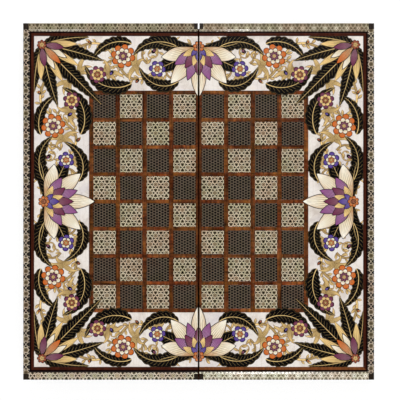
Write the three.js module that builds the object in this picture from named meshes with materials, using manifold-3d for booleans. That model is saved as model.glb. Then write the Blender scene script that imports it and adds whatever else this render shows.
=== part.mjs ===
// Folding marquetry chess board, lying open with its chess side up.
// Millimetres, +Z up. X runs across the two halves, Y along the seam between them,
// and the origin is on the table under the middle of the seam.
// Each half is a shallow box, open below. The right half folds down about the hinges
// until its rim meets the left half's rim, with the trays inside.

import * as THREE from 'three';
import { mergeVertices } from 'three/addons/utils/BufferGeometryUtils.js';
import Module from 'manifold-3d';

// Board
const BOARD_WIDTH = 492;
const BOARD_LENGTH = 500;
const HALF_HEIGHT = 40;
const SEAM_GAP = 2.4;

// Case
const WALL = 15;
const SEAM_WALL = 12;
const PANEL = 6;
const PANEL_SEAT = 7;
const LINER = 1.2;

// Bands let into the outside of the walls
const BAND = 1.2;
const BAND_SINK = 0.2;
const BAND_MARGIN = 4.5;

// Chess field
const FILES_PER_HALF = 4;
const RANKS = 8;
const SQUARE_X = 31.2;
const SQUARE_Y = 32.7;
const STRIP_X = 6.2;
const STRIP_Y = 5.5;
const SEAM_STRIP = 3;
const BACKING = 0.6;
const LATTICE = 0.8;
const SQUARE_SINK = 0.1;

// Border and fillet
const SIDE_BORDER = 8.8;
const END_BORDER = 11.6;
const SIDE_SLOPE = 1.2;
const END_SLOPE = 3.2;
const SLOPE_DROP = 1.1;
const BORDER_RISE = 1.5;
const BORDER_EDGE = 0.6;
const SEAM_BLOCK = 5.2;
const FILLET = 6.2;
const FILLET_GROOVE = 1.8;
const GROOVE_DROP = 0.4;
const FILLET_RISE = 0.5;
const FILLET_EDGE = 0.7;

// Hinges
const HINGE_OFFSET = 150;
const LEAF_LENGTH = 60;
const LEAF_THICKNESS = 1.2;
const LEAF_SETBACK = 2.8;
const BARREL_RADIUS = 2;
const PIN_RADIUS = 1;
const KNUCKLES = 5;
const SCREW_END_MARGIN = 11;
const SCREW_HEAD_RADIUS = 2.3;
const SCREW_HEAD_DEPTH = 1.3;
const SCREW_HEAD_RIM = 0.2;
const SCREW_RADIUS = 1.1;
const SCREW_LENGTH = 12;
const SCREW_TIP = 2;
const SCREW_SINK = 0.1;

// Closing magnets
const MAGNET_WOOD = 1.1;
const MAGNET_DEPTH = 3;
const MAGNET_SINK = 0.1;

// Clearances
const GLUE_LINE = 0.1;
const SEAT_GAP = 0.3;
const HINGE_GAP = 0.4;
const TABLE_GAP = 0.4;
const CLOSING_GAP = 0.3;
const LAP_GAP = 0.4;

// How far a cutter runs past the face that it opens
const OVERCUT = 2;

// Facets of round pieces
const BARREL_SIDES = 24;
const SCREW_SIDES = 12;
const MAGNET_SIDES = 24;

// Plan
const halfWidth = BOARD_WIDTH / 2;
const halfLength = BOARD_LENGTH / 2;
const seamFace = SEAM_GAP / 2;
const seamWallInside = seamFace + SEAM_WALL;
const wallTop = WALL - PANEL_SEAT;
const pitchX = SQUARE_X + STRIP_X;
const pitchY = SQUARE_Y + STRIP_Y;
const gridReach = seamFace + SEAM_STRIP + FILES_PER_HALF * pitchX;
const gridHalfLength = (RANKS * pitchY + STRIP_Y) / 2;
const filletOuterX = halfWidth - SIDE_BORDER - GLUE_LINE;
const filletOuterY = halfLength - END_BORDER - GLUE_LINE;
const fieldReach = filletOuterX - FILLET - GLUE_LINE;
const fieldHalfLength = filletOuterY - FILLET - GLUE_LINE;

// Heights
const inlay = 2 * BACKING + LATTICE;
const fieldTop = HALF_HEIGHT - BORDER_RISE;
const deck = fieldTop - inlay;
const panelUnderside = deck - PANEL;
const linerUnderside = panelUnderside - LINER;
const axisHeight = BARREL_RADIUS + TABLE_GAP;
const seamRim = axisHeight + CLOSING_GAP / 2;
const ledge = 2 * axisHeight + CLOSING_GAP;
const bandBottom = ledge + BAND_MARGIN;
const bandTop = deck - BAND_MARGIN;

// Rim lap: the left half's lip is the outer part of its walls, the right half's the inner part
const outerLip = (WALL - LAP_GAP) / 2;
const innerLip = (WALL + LAP_GAP) / 2;

// Hinge
const leafStart = BARREL_RADIUS + HINGE_GAP;
const leafReach = seamWallInside - LEAF_SETBACK;
const pinBore = PIN_RADIUS + SEAT_GAP;
const knuckleLength = (LEAF_LENGTH - (KNUCKLES - 1) * HINGE_GAP) / KNUCKLES;
const magnetRadius = outerLip / 2 - MAGNET_WOOD;

const LEFT = -1;
const RIGHT = 1;
const FAR = 1;
const NEAR = -1;
const endNames = new Map([[FAR, 'far'], [NEAR, 'near']]);
const sideNames = new Map([[LEFT, 'left'], [RIGHT, 'right']]);

const wasm = await Module();
wasm.setup();

// Materials

function finish(color, roughness, metalness = 0) {
  return new THREE.MeshStandardMaterial({ color, roughness, metalness });
}

const finishes = {
  caseWood: finish(0x4a2414, 0.4),
  panelWood: finish(0xa98a5c, 0.7),
  linerWood: finish(0x7a4a26, 0.5),
  latticeWood: finish(0x6b2f12, 0.3),
  filletWood: finish(0x371614, 0.25),
  cornerWood: finish(0x19140f, 0.3),
  lightMarquetry: finish(0x8f8468, 0.3),
  darkMarquetry: finish(0x45403a, 0.3),
  borderMarquetry: finish(0x9a8f78, 0.3),
  paintedField: finish(0xddd5c8, 0.35),
  brass: finish(0xb08a45, 0.35, 1),
  steel: finish(0x9a9a98, 0.35, 1),
  nickel: finish(0xc8c8c6, 0.2, 1),
};

// Solids

function asSolid(geometry) {
  geometry.deleteAttribute('normal');
  geometry.deleteAttribute('uv');
  const merged = mergeVertices(geometry);
  const vertProperties = merged.attributes.position.array;
  const triVerts = new Uint32Array(merged.index.array);
  return new wasm.Manifold(new wasm.Mesh({ numProp: 3, vertProperties, triVerts }));
}

function asGeometry(solid) {
  const mesh = solid.getMesh();
  const geometry = new THREE.BufferGeometry();
  geometry.setAttribute('position', new THREE.BufferAttribute(mesh.vertProperties, 3));
  geometry.setIndex(new THREE.BufferAttribute(mesh.triVerts, 1));
  geometry.computeVertexNormals();
  return geometry;
}

function join(...geometries) {
  return asGeometry(geometries.map(asSolid).reduce((whole, piece) => whole.add(piece)));
}

function cut(geometry, cutters) {
  return asGeometry(cutters.map(asSolid).reduce((rest, cutter) => rest.subtract(cutter), asSolid(geometry)));
}

// A block on one half: reach is measured from the seam plane, towards that half's outer side.
function block(side, [reach0, reach1], [y0, y1], [z0, z1]) {
  const geometry = new THREE.BoxGeometry(reach1 - reach0, y1 - y0, z1 - z0);
  return geometry.translate(side * (reach0 + reach1) / 2, (y0 + y1) / 2, (z0 + z1) / 2);
}

// A flat sheet on one half, from an outline of [reach, y] points.
function sheet(side, outline, [z0, z1]) {
  const shape = new THREE.Shape(outline.map(([reach, y]) => new THREE.Vector2(side * reach, y)));
  const geometry = new THREE.ExtrudeGeometry(shape, { depth: z1 - z0, bevelEnabled: false });
  return geometry.translate(0, 0, z0);
}

function signedVolume(positions, index) {
  const corner = (k) => new THREE.Vector3().fromArray(positions, 3 * index[k]);
  let volume = 0;
  for (let k = 0; k < index.length; k += 3) {
    volume += corner(k).dot(corner(k + 1).cross(corner(k + 2)));
  }
  return volume;
}

// A moulding carries a profile of [inset, height] points, in anticlockwise order, through a run of
// stations. Each station turns an inset from the outer face into a plan position, so ends can be mitred.
function moulding(profile, stations) {
  const count = profile.length;
  const positions = stations.flatMap((station) => profile.flatMap(([inset, z]) => [...station(inset), z]));
  const index = [];
  for (let s = 0; s < stations.length - 1; s += 1) {
    for (let k = 0; k < count; k += 1) {
      const here = s * count + k;
      const next = s * count + (k + 1) % count;
      index.push(here, next, next + count, here, next + count, here + count);
    }
  }
  const outline = profile.map(([inset, z]) => new THREE.Vector2(inset, z));
  const last = (stations.length - 1) * count;
  for (const [a, b, c] of THREE.ShapeUtils.triangulateShape(outline, [])) {
    index.push(a, c, b, last + a, last + b, last + c);
  }
  if (signedVolume(positions, index) < 0) {
    index.reverse();
  }
  const geometry = new THREE.BufferGeometry();
  geometry.setAttribute('position', new THREE.Float32BufferAttribute(positions, 3));
  geometry.setIndex(index);
  geometry.computeVertexNormals();
  return geometry;
}

// Stations of the three outer sides of a half, for pieces whose outer face is the board's own edge.
// slope is the corner's mitre: how far the end runs back for each millimetre of inset.
function outerRun(side, slope = 1) {
  const end = (inset) => halfLength - slope * inset - GLUE_LINE;
  const x = (inset) => side * (halfWidth - inset);
  return [(inset) => [x(inset), end(inset)], (inset) => [x(inset), -end(inset)]];
}

function endRun(side, end, slope = 1) {
  const y = (inset) => end * (halfLength - inset);
  return [
    (inset) => [side * seamFace, y(inset)],
    (inset) => [side * (halfWidth - slope * inset - GLUE_LINE), y(inset)],
  ];
}

// Case walls

function wallProfile(side) {
  const foot = side === LEFT
    ? [[0, 0], [outerLip, 0], [outerLip, ledge], [WALL, ledge]]
    : [[0, ledge], [innerLip, ledge], [innerLip, 0], [WALL, 0]];
  const grooveDepth = BAND_SINK + BAND + GLUE_LINE;
  return [
    ...foot,
    [WALL, panelUnderside],
    [wallTop, panelUnderside],
    [wallTop, deck],
    [0, deck],
    [0, bandTop],
    [grooveDepth, bandTop],
    [grooveDepth, bandBottom],
    [0, bandBottom],
  ];
}

function bandProfile() {
  const low = bandBottom + GLUE_LINE;
  const high = bandTop - GLUE_LINE;
  const back = BAND_SINK + BAND;
  return [[BAND_SINK, low], [back, low], [back, high], [BAND_SINK, high]];
}

// The left magnet faces down in its lip, and the right one in the ledge that meets that lip.
function magnetDisc(side, radius, [depth0, depth1]) {
  const mouth = side === LEFT ? 0 : ledge;
  const disc = new THREE.CylinderGeometry(radius, radius, depth1 - depth0, MAGNET_SIDES);
  disc.rotateX(Math.PI / 2);
  return disc.translate(side * (halfWidth - outerLip / 2), 0, mouth + (depth0 + depth1) / 2);
}

function magnet(side) {
  return magnetDisc(side, magnetRadius, [MAGNET_SINK, MAGNET_SINK + MAGNET_DEPTH]);
}

function magnetPocket(side) {
  const floor = MAGNET_SINK + MAGNET_DEPTH + SEAT_GAP;
  return magnetDisc(side, magnetRadius + SEAT_GAP, [-OVERCUT, floor]);
}

function outerWall(side) {
  return cut(moulding(wallProfile(side), outerRun(side)), [magnetPocket(side)]);
}

function seamWall(side) {
  const halfSpan = halfLength - WALL - SEAT_GAP;
  const body = block(side, [seamFace, seamWallInside], [-halfSpan, halfSpan], [seamRim, panelUnderside]);
  const cutters = [FAR, NEAR].flatMap((end) => [
    ...hingeSeat(side, end),
    ...screwPlaces(end).map((y) => screw(side, y, SEAT_GAP)),
  ]);
  return cut(body, cutters);
}

function panel(side) {
  const reach = halfWidth - wallTop - GLUE_LINE;
  const halfSpan = halfLength - wallTop - GLUE_LINE;
  return block(side, [seamFace, reach], [-halfSpan, halfSpan], [panelUnderside, deck]);
}

function liner(side) {
  const halfSpan = halfLength - WALL - GLUE_LINE;
  const reaches = [seamWallInside + GLUE_LINE, halfWidth - WALL - GLUE_LINE];
  return block(side, reaches, [-halfSpan, halfSpan], [linerUnderside, panelUnderside]);
}

// Chess field

function squareRect(file, rank, margin = 0) {
  const reach = seamFace + SEAM_STRIP + file * pitchX;
  const y = -gridHalfLength + STRIP_Y + rank * pitchY;
  return [
    [reach - margin, reach + SQUARE_X + margin],
    [y - margin, y + SQUARE_Y + margin],
  ];
}

// The far corner square on the left is dark, and colours alternate from there across the seam.
function squares(side) {
  const darkParity = side === LEFT ? 0 : 1;
  const all = [];
  for (let file = 0; file < FILES_PER_HALF; file += 1) {
    for (let rank = 0; rank < RANKS; rank += 1) {
      all.push({ file, rank, dark: (file + rank) % 2 === darkParity });
    }
  }
  return all;
}

// A sheet over the whole chess field, with a window for each of the given squares.
function gridSheet(side, [z0, z1], windows) {
  const body = block(side, [seamFace, gridReach], [-gridHalfLength, gridHalfLength], [z0, z1]);
  const openings = windows.map(({ file, rank }) => {
    const [reaches, ys] = squareRect(file, rank, GLUE_LINE);
    return block(side, reaches, ys, [z0 - OVERCUT, z1 + OVERCUT]);
  });
  return cut(body, openings);
}

// Tiles of one colour stand on a thin backing sheet, which has windows for the tiles from below it.
function tileSheet(side, bottom, tiles, windows) {
  const backing = gridSheet(side, [bottom, bottom + BACKING], windows);
  const blocks = tiles.map(({ file, rank }) => {
    const [reaches, ys] = squareRect(file, rank);
    return block(side, reaches, ys, [bottom, fieldTop - SQUARE_SINK]);
  });
  return join(backing, ...blocks);
}

function darkSquares(side) {
  return tileSheet(side, deck, squares(side).filter(({ dark }) => dark), []);
}

function lightSquares(side) {
  const light = squares(side).filter(({ dark }) => !dark);
  const dark = squares(side).filter((square) => square.dark);
  return tileSheet(side, deck + BACKING, light, dark);
}

function lattice(side) {
  return gridSheet(side, [deck + 2 * BACKING, fieldTop], squares(side));
}

// Painted field and its surround

function paintedField(side) {
  const innerReach = gridReach + GLUE_LINE;
  const innerY = gridHalfLength + GLUE_LINE;
  const outline = [
    [seamFace, fieldHalfLength],
    [fieldReach, fieldHalfLength],
    [fieldReach, -fieldHalfLength],
    [seamFace, -fieldHalfLength],
    [seamFace, -innerY],
    [innerReach, -innerY],
    [innerReach, innerY],
    [seamFace, innerY],
  ];
  return sheet(side, outline, [deck, fieldTop]);
}

// A shadow groove beside the border, then a low flat moulding with eased edges.
function fillet(side) {
  const crown = fieldTop + FILLET_RISE;
  const profile = [
    [0, deck],
    [FILLET, deck],
    [FILLET, crown - FILLET_EDGE],
    [FILLET - FILLET_EDGE, crown],
    [FILLET_GROOVE + FILLET_EDGE, crown],
    [FILLET_GROOVE, fieldTop - GROOVE_DROP],
    [0, fieldTop - GROOVE_DROP],
  ];
  const x = (inset) => side * (filletOuterX - inset);
  const y = (inset) => filletOuterY - inset;
  return moulding(profile, [
    (inset) => [side * seamFace, y(inset)],
    (inset) => [x(inset), y(inset)],
    (inset) => [x(inset), -y(inset)],
    (inset) => [side * seamFace, -y(inset)],
  ]);
}

function borderProfile(width, slopeWidth) {
  return [
    [0, deck],
    [width, deck],
    [width, HALF_HEIGHT - SLOPE_DROP],
    [width - slopeWidth, HALF_HEIGHT],
    [BORDER_EDGE, HALF_HEIGHT],
    [0, HALF_HEIGHT - BORDER_EDGE],
  ];
}

// Corner blocks are as wide as the flat tops of the strips that they join.
const cornerWidth = SIDE_BORDER - SIDE_SLOPE;
const cornerLength = END_BORDER - END_SLOPE;

function cornerReaches(atSeam) {
  return atSeam ? [seamFace, seamFace + SEAM_BLOCK] : [halfWidth - cornerWidth, halfWidth];
}

function cornerBlock(side, end, atSeam) {
  const [reach0, reach1] = cornerReaches(atSeam);
  const profile = [
    [0, deck],
    [cornerLength, deck],
    [cornerLength, HALF_HEIGHT],
    [BORDER_EDGE, HALF_HEIGHT],
    [0, HALF_HEIGHT - BORDER_EDGE],
  ];
  const y = (inset) => end * (halfLength - inset);
  return moulding(profile, [
    (inset) => [side * reach0, y(inset)],
    (inset) => [side * reach1, y(inset)],
  ]);
}

// The pocket that a corner block leaves in the border strips, open to the board's edges.
function cornerPocket(side, end, atSeam) {
  const [reach0, reach1] = cornerReaches(atSeam);
  const reaches = atSeam ? [reach0 - OVERCUT, reach1 + GLUE_LINE] : [reach0 - GLUE_LINE, reach1 + OVERCUT];
  const inner = halfLength - cornerLength - GLUE_LINE;
  const outer = halfLength + OVERCUT;
  const ys = end === FAR ? [inner, outer] : [-outer, -inner];
  return block(side, reaches, ys, [deck - OVERCUT, HALF_HEIGHT + OVERCUT]);
}

function outerBorder(side) {
  const strip = moulding(borderProfile(SIDE_BORDER, SIDE_SLOPE), outerRun(side, END_BORDER / SIDE_BORDER));
  return cut(strip, [FAR, NEAR].map((end) => cornerPocket(side, end, false)));
}

function endBorder(side, end) {
  const strip = moulding(borderProfile(END_BORDER, END_SLOPE), endRun(side, end, SIDE_BORDER / END_BORDER));
  return cut(strip, [true, false].map((atSeam) => cornerPocket(side, end, atSeam)));
}

// Hinges: the axis lies in the plane where the closed rims meet

function rod(radius, length, y) {
  const cylinder = new THREE.CylinderGeometry(radius, radius, length, BARREL_SIDES);
  return cylinder.translate(0, y, axisHeight);
}

function screwPlaces(end) {
  const spread = LEAF_LENGTH / 2 - SCREW_END_MARGIN;
  return [spread, -spread].map((y) => end * HINGE_OFFSET + y);
}

// A countersunk screw points up into the seam wall. A clearance makes the hole for it.
function screw(side, y, clearance = 0) {
  const face = clearance > 0 ? -OVERCUT : 0;
  const profile = [
    [0, face],
    [SCREW_HEAD_RADIUS + clearance, face],
    [SCREW_HEAD_RADIUS + clearance, SCREW_HEAD_RIM + clearance],
    [SCREW_RADIUS + clearance, SCREW_HEAD_DEPTH + clearance],
    [SCREW_RADIUS + clearance, SCREW_LENGTH - SCREW_TIP + clearance],
    [0, SCREW_LENGTH + clearance],
  ];
  const points = profile.map(([radius, depth]) => new THREE.Vector2(radius, depth));
  const body = new THREE.LatheGeometry(points, SCREW_SIDES);
  body.rotateX(Math.PI / 2);
  return body.translate(side * (leafStart + leafReach) / 2, y, seamRim + SCREW_SINK);
}

// Mortise for the leaf and a notch for the barrel, in the seam wall's rim.
function hingeSeat(side, end) {
  const middle = end * HINGE_OFFSET;
  const span = (gap) => [middle - LEAF_LENGTH / 2 - gap, middle + LEAF_LENGTH / 2 + gap];
  const leafTop = seamRim + LEAF_THICKNESS + SEAT_GAP;
  const barrelTop = axisHeight + BARREL_RADIUS + HINGE_GAP;
  return [
    block(side, [0, leafReach + SEAT_GAP], span(HINGE_GAP), [0, leafTop]),
    block(side, [0, leafStart], span(HINGE_GAP), [0, barrelTop]),
  ];
}

// The left leaf takes the first, third and fifth knuckles, the right leaf those between them.
function hingeLeaf(side, end) {
  const middle = end * HINGE_OFFSET;
  const heights = [seamRim, seamRim + LEAF_THICKNESS];
  const ends = [middle - LEAF_LENGTH / 2, middle + LEAF_LENGTH / 2];
  const pieces = [block(side, [leafStart, leafReach], ends, heights)];
  for (let k = side === LEFT ? 0 : 1; k < KNUCKLES; k += 2) {
    const y0 = ends[0] + k * (knuckleLength + HINGE_GAP);
    const y1 = y0 + knuckleLength;
    pieces.push(rod(BARREL_RADIUS, knuckleLength, (y0 + y1) / 2));
    pieces.push(block(side, [0, leafStart + LEAF_THICKNESS], [y0, y1], heights));
  }
  const holes = screwPlaces(end).map((y) => screw(side, y, SEAT_GAP));
  return cut(join(...pieces), [rod(pinBore, 2 * LEAF_LENGTH, middle), ...holes]);
}

function hingePin(end) {
  return rod(PIN_RADIUS, LEAF_LENGTH, end * HINGE_OFFSET);
}

// Scene graph

function named(name, geometry, material) {
  const mesh = new THREE.Mesh(geometry, material);
  mesh.name = name;
  return mesh;
}

function caseOf(side, name) {
  return [
    named(`${name}_outer_wall`, outerWall(side), finishes.caseWood),
    named(`${name}_seam_wall`, seamWall(side), finishes.caseWood),
    named(`${name}_panel`, panel(side), finishes.panelWood),
    named(`${name}_liner`, liner(side), finishes.linerWood),
    named(`${name}_outer_band`, moulding(bandProfile(), outerRun(side)), finishes.borderMarquetry),
    named(`${name}_magnet`, magnet(side), finishes.nickel),
  ];
}

function topOf(side, name) {
  return [
    named(`${name}_dark_squares`, darkSquares(side), finishes.darkMarquetry),
    named(`${name}_light_squares`, lightSquares(side), finishes.lightMarquetry),
    named(`${name}_lattice`, lattice(side), finishes.latticeWood),
    named(`${name}_painted_field`, paintedField(side), finishes.paintedField),
    named(`${name}_fillet`, fillet(side), finishes.filletWood),
    named(`${name}_outer_border`, outerBorder(side), finishes.borderMarquetry),
  ];
}

function endOf(side, name, end) {
  const endName = endNames.get(end);
  return [
    named(`${name}_${endName}_wall`, moulding(wallProfile(side), endRun(side, end)), finishes.caseWood),
    named(`${name}_${endName}_band`, moulding(bandProfile(), endRun(side, end)), finishes.borderMarquetry),
    named(`${name}_${endName}_border`, endBorder(side, end), finishes.borderMarquetry),
    named(`${name}_${endName}_corner`, cornerBlock(side, end, false), finishes.cornerWood),
    named(`${name}_${endName}_seam_corner`, cornerBlock(side, end, true), finishes.cornerWood),
  ];
}

function hingeHalf(side, name, end) {
  const hinge = `${endNames.get(end)}_hinge`;
  const screws = screwPlaces(end).map((y, k) => (
    named(`${hinge}_${name}_screw_${k + 1}`, screw(side, y), finishes.brass)
  ));
  return [named(`${hinge}_${name}_leaf`, hingeLeaf(side, end), finishes.brass), ...screws];
}

function halfBoard(side) {
  const name = sideNames.get(side);
  const half = new THREE.Group();
  half.name = `${name}_half`;
  half.add(...caseOf(side, name), ...topOf(side, name));
  for (const end of [FAR, NEAR]) {
    half.add(...endOf(side, name, end), ...hingeHalf(side, name, end));
  }
  return half;
}

const board = new THREE.Group();
board.name = 'folding_chess_board';
const leftHalf = halfBoard(LEFT);
for (const end of [FAR, NEAR]) {
  leftHalf.add(named(`${endNames.get(end)}_hinge_pin`, hingePin(end), finishes.steel));
}
board.add(leftHalf, halfBoard(RIGHT));

export default board;
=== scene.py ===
import cmath
import functools
import math

import bmesh
import bpy
from bpy.props import (
    FloatProperty,
    FloatVectorProperty,
    IntProperty,
    PointerProperty,
)
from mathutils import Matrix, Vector


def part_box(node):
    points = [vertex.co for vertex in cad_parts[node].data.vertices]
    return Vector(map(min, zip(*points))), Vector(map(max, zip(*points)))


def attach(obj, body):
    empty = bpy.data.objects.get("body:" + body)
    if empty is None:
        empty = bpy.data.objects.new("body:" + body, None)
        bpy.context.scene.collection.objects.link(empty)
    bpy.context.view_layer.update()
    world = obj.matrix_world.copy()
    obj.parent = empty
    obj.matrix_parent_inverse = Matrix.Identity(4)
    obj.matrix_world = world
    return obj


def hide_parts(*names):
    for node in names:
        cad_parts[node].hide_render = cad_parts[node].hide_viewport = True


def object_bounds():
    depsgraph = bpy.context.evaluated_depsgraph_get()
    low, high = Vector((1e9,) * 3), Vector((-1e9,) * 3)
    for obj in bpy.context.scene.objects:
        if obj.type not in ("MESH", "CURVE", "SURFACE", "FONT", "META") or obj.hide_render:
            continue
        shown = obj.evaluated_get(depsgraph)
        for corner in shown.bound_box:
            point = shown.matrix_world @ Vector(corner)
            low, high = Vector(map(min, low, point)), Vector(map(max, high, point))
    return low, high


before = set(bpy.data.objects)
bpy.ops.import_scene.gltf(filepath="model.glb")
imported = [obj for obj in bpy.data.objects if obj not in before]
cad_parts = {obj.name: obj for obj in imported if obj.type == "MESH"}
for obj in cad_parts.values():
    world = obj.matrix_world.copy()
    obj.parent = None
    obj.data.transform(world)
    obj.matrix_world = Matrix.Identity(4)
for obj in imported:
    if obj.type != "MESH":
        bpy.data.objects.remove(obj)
CAD_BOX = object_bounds()

bl_info = {
    "name": "Inlaid chess board",
    "version": (1, 0, 0),
    "blender": (4, 5, 0),
    "location": "View3D > Sidebar > Chess board",
    "description": "Dresses a folding marquetry chess board in inlay, wood, paint and brass",
    "category": "Object",
}

MM = 0.001
SIDES = ("left", "right")
HANDS = {"left": -1, "right": 1}
ENDS = ("far", "near")
FIELD_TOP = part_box("left_painted_field")[1].z
BOARD_TOP = CAD_BOX[1].z

# Widths of eased edges
WALL_ROUND = 0.4 * MM
BAND_ROUND = 0.1 * MM
LEAF_ROUND = 0.12 * MM

# Degrees over which an edge is eased, and up to which it is shaded smooth on flat, bent and round pieces
EASED_ANGLE = 24.0
FLAT_ANGLE = 10.0
LEAF_ANGLE = 20.0
ROUND_ANGLE = 35.0

# Corners of loose triangles closer than this are one
JOIN_DISTANCE = 0.001 * MM

# The black line round the border, and its width along the near border of each half
BLACK_LINE = "140605"
NEAR_LINES = {"left": 1.2 * MM, "right": 0.5 * MM}

# How far the stars of each border strip are moved along it, and its tones: net, ground, hearts, rings
# and dark rods
SIDE_TONES = ("e6d7c5", "8a7c67", "645743", "847661", "16110b")
BORDER_STRIPS = {
    ("left", "left"): (2.8 * MM, SIDE_TONES),
    ("right", "right"): (-3.0 * MM, SIDE_TONES),
    ("far", "left"): (0.0, ("b4a990", "8e836c", "a79c83", "766b55", "4e4433")),
    ("far", "right"): (-5.7 * MM, ("ada28c", "968c76", "d6ccb4", "877d68", "665c48")),
    # The near strips are painted paler than the far and side ones, the right one most: partly their own
    # paler rods and partly painted light, for the light on the near border and the glint along its slope
    ("near", "left"): (3.8 * MM, ("f1e7d3", "a99d87", "d1c8a9", "5e543f", "352d20")),
    ("near", "right"): (3.1 * MM, ("ebe3cf", "c4bba8", "fefaec", "9e957f", "746a58")),
}

# Where a painted shape is widest: lower values lie nearer its root
TONGUE_BULGE = 0.6
LEAF_BULGE = 0.75
PETAL_BULGE = 1.25

# Heights, in layers, that keep overlapping shapes of one kind apart: from one to the next, mirrored
# ones, and ones on the left and right sides of the board
STEP_APART = 0.4
HAND_APART = 0.1
TURN_APART = 0.2

# Place, width, watts, height as a share of the width, and whether the lacquer mirrors the lamp
LAMPS = (
    ((0.18, 0.93, 1.9), 0.2, 4.9, 2.1, True),
    ((0.114, -0.823, 1.734), 0.06, 0.55, 1.6, True),
    ((-0.365, -0.823, 1.734), 0.15, 0.42, 0.8, True),
    ((0.1, 1.9, 1.3), 1.1, 22.3, 1.0, False),
    ((0.1, -1.9, 1.3), 1.1, 18.3, 1.0, False),
    ((-1.7, 0.4, 1.4), 1.1, 13.4, 1.0, False),
    ((1.7, -0.3, 1.4), 1.1, 13.4, 1.0, False),
)


def tone(code):
    """Turns a six-digit screen colour into the linear values that a shader reads."""
    parts = [int(code[i : i + 2], 16) / 255 for i in (0, 2, 4)]
    return tuple(v / 12.92 if v <= 0.04045 else ((v + 0.055) / 1.055) ** 2.4 for v in parts) + (1.0,)


def length(label, words, value):
    """A size that a user can change."""
    return FloatProperty(
        name=label, description=words, default=value, min=0.0, unit="LENGTH", precision=5
    )


def colour(label, words, code):
    """A colour that a user can change."""
    return FloatVectorProperty(
        name=label, description=words, default=tone(code), size=4, min=0.0, max=1.0, subtype="COLOR"
    )


# Sizes and colours that a user would change


class BoardSizes(bpy.types.PropertyGroup):
    """Sizes of the inlay, the strips and the painted relief"""

    tile_width: length("Square width", "Width of a square across the board", 0.0312)
    tile_length: length("Square length", "Length of a square along the seam", 0.0327)
    tile_sink: length("Square sink", "Depth of the squares below the strips", 0.0001)
    file_strip: length("File strip", "Width of the strips along the seam", 0.0062)
    rank_strip: length("Rank strip", "Width of the strips across the board", 0.0055)
    seam_strip: length("Seam strip", "Width of the strip beside the seam", 0.003)
    seam_gap: length("Seam gap", "Gap between the two halves", 0.0024)
    files: IntProperty(name="Files", description="Files of squares on each half", default=4, min=1)
    ranks: IntProperty(name="Ranks", description="Ranks of squares", default=8, min=1)
    edge_round: length("Edge rounding", "Width of the eased edges of wood and inlay", 0.00022)
    star_pitch: length("Star pitch", "Distance between the stars of the light squares", 0.0144)
    dot_pitch: length("Dot pitch", "Distance between like dots of the dark squares", 0.0078)
    side_pitch: length("Side border pitch", "Distance between the stars of the side borders", 0.0158)
    near_pitch: length("Near border pitch", "Distance between the stars of the near border", 0.0158)
    far_pitch: length("Far border pitch", "Distance between the stars of the far border", 0.0156)
    paint_rise: length("Paint rise", "Height of the lowest layer of paint", 0.00006)
    paint_layer: length("Paint layer", "Height that each further layer adds", 0.000022)
    paint_edge: length("Paint edge", "Drop of a layer of paint towards its edge", 0.000016)
    paint_foot: length("Paint foot", "Depth that paint reaches into the ground", 0.0002)
    paint_clear: length("Paint clearance", "Gap between the paint and the seam", 0.0002)
    slot_width: length("Slot width", "Width of the slots in the screw heads", 0.0007)
    slot_depth: length("Slot depth", "Depth of the slots in the screw heads", 0.0006)
    sprig_gap: length("Sprig gap", "Distance between leaves along a stem", 0.0066)


class BoardColours(bpy.types.PropertyGroup):
    """Colours of the wood, the inlay and the paint"""

    strip_wood: colour("Strip wood", "Red-brown wood between the squares", "5a3218")
    fillet_wood: colour("Fillet wood", "Dark red-brown wood inside the border", "3f1b10")
    wall_wood: colour("Wall wood", "Wood of the walls", "5a2a14")
    liner_wood: colour("Liner wood", "Veneer of the trays", "a9794a")
    ebony: colour("Ebony", "Black wood of the corner blocks and the dark dots", "271e17")
    bone: colour("Bone", "Pale rods of the inlay", "dccfb6")
    bark: colour("Bark", "Dark rods of the inlay", "241d14")
    heart: colour("Heart", "Middles of the stars", "80715b")
    slate: colour("Slate", "Ground of the dark squares", "463e36")
    ivory: colour("Ivory", "Ground of the painted field", "efe7df")
    black_paint: colour("Black paint", "Dark leaves and outlines", "0a0706")
    gold_paint: colour("Gold paint", "Clouds, stems and ribs", "e0bf80")
    cream_paint: colour("Cream paint", "Pale petals", "f1e4c4")
    plum_paint: colour("Plum paint", "Dark red petals", "5f2440")
    violet_paint: colour("Violet paint", "Blue-violet petals", "46307c")
    mauve_paint: colour("Mauve paint", "Soft purple petals", "7c4676")
    orange_paint: colour("Orange paint", "Warm hearts of the blossoms", "b4561a")
    brick_paint: colour("Brick paint", "Red petals", "84331f")
    brass: colour("Brass", "Hinges and screws", "b58d44")


def sizes():
    """Sizes that are set in the sidebar."""
    return bpy.context.scene.board_sizes


def colours():
    """Colours that are set in the sidebar."""
    return bpy.context.scene.board_colours


def shade(value, share):
    """The same colour, darker below 1 and lighter above."""
    return tuple(min(1.0, v * share) for v in value[:3]) + (1.0,)


# Node building


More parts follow.
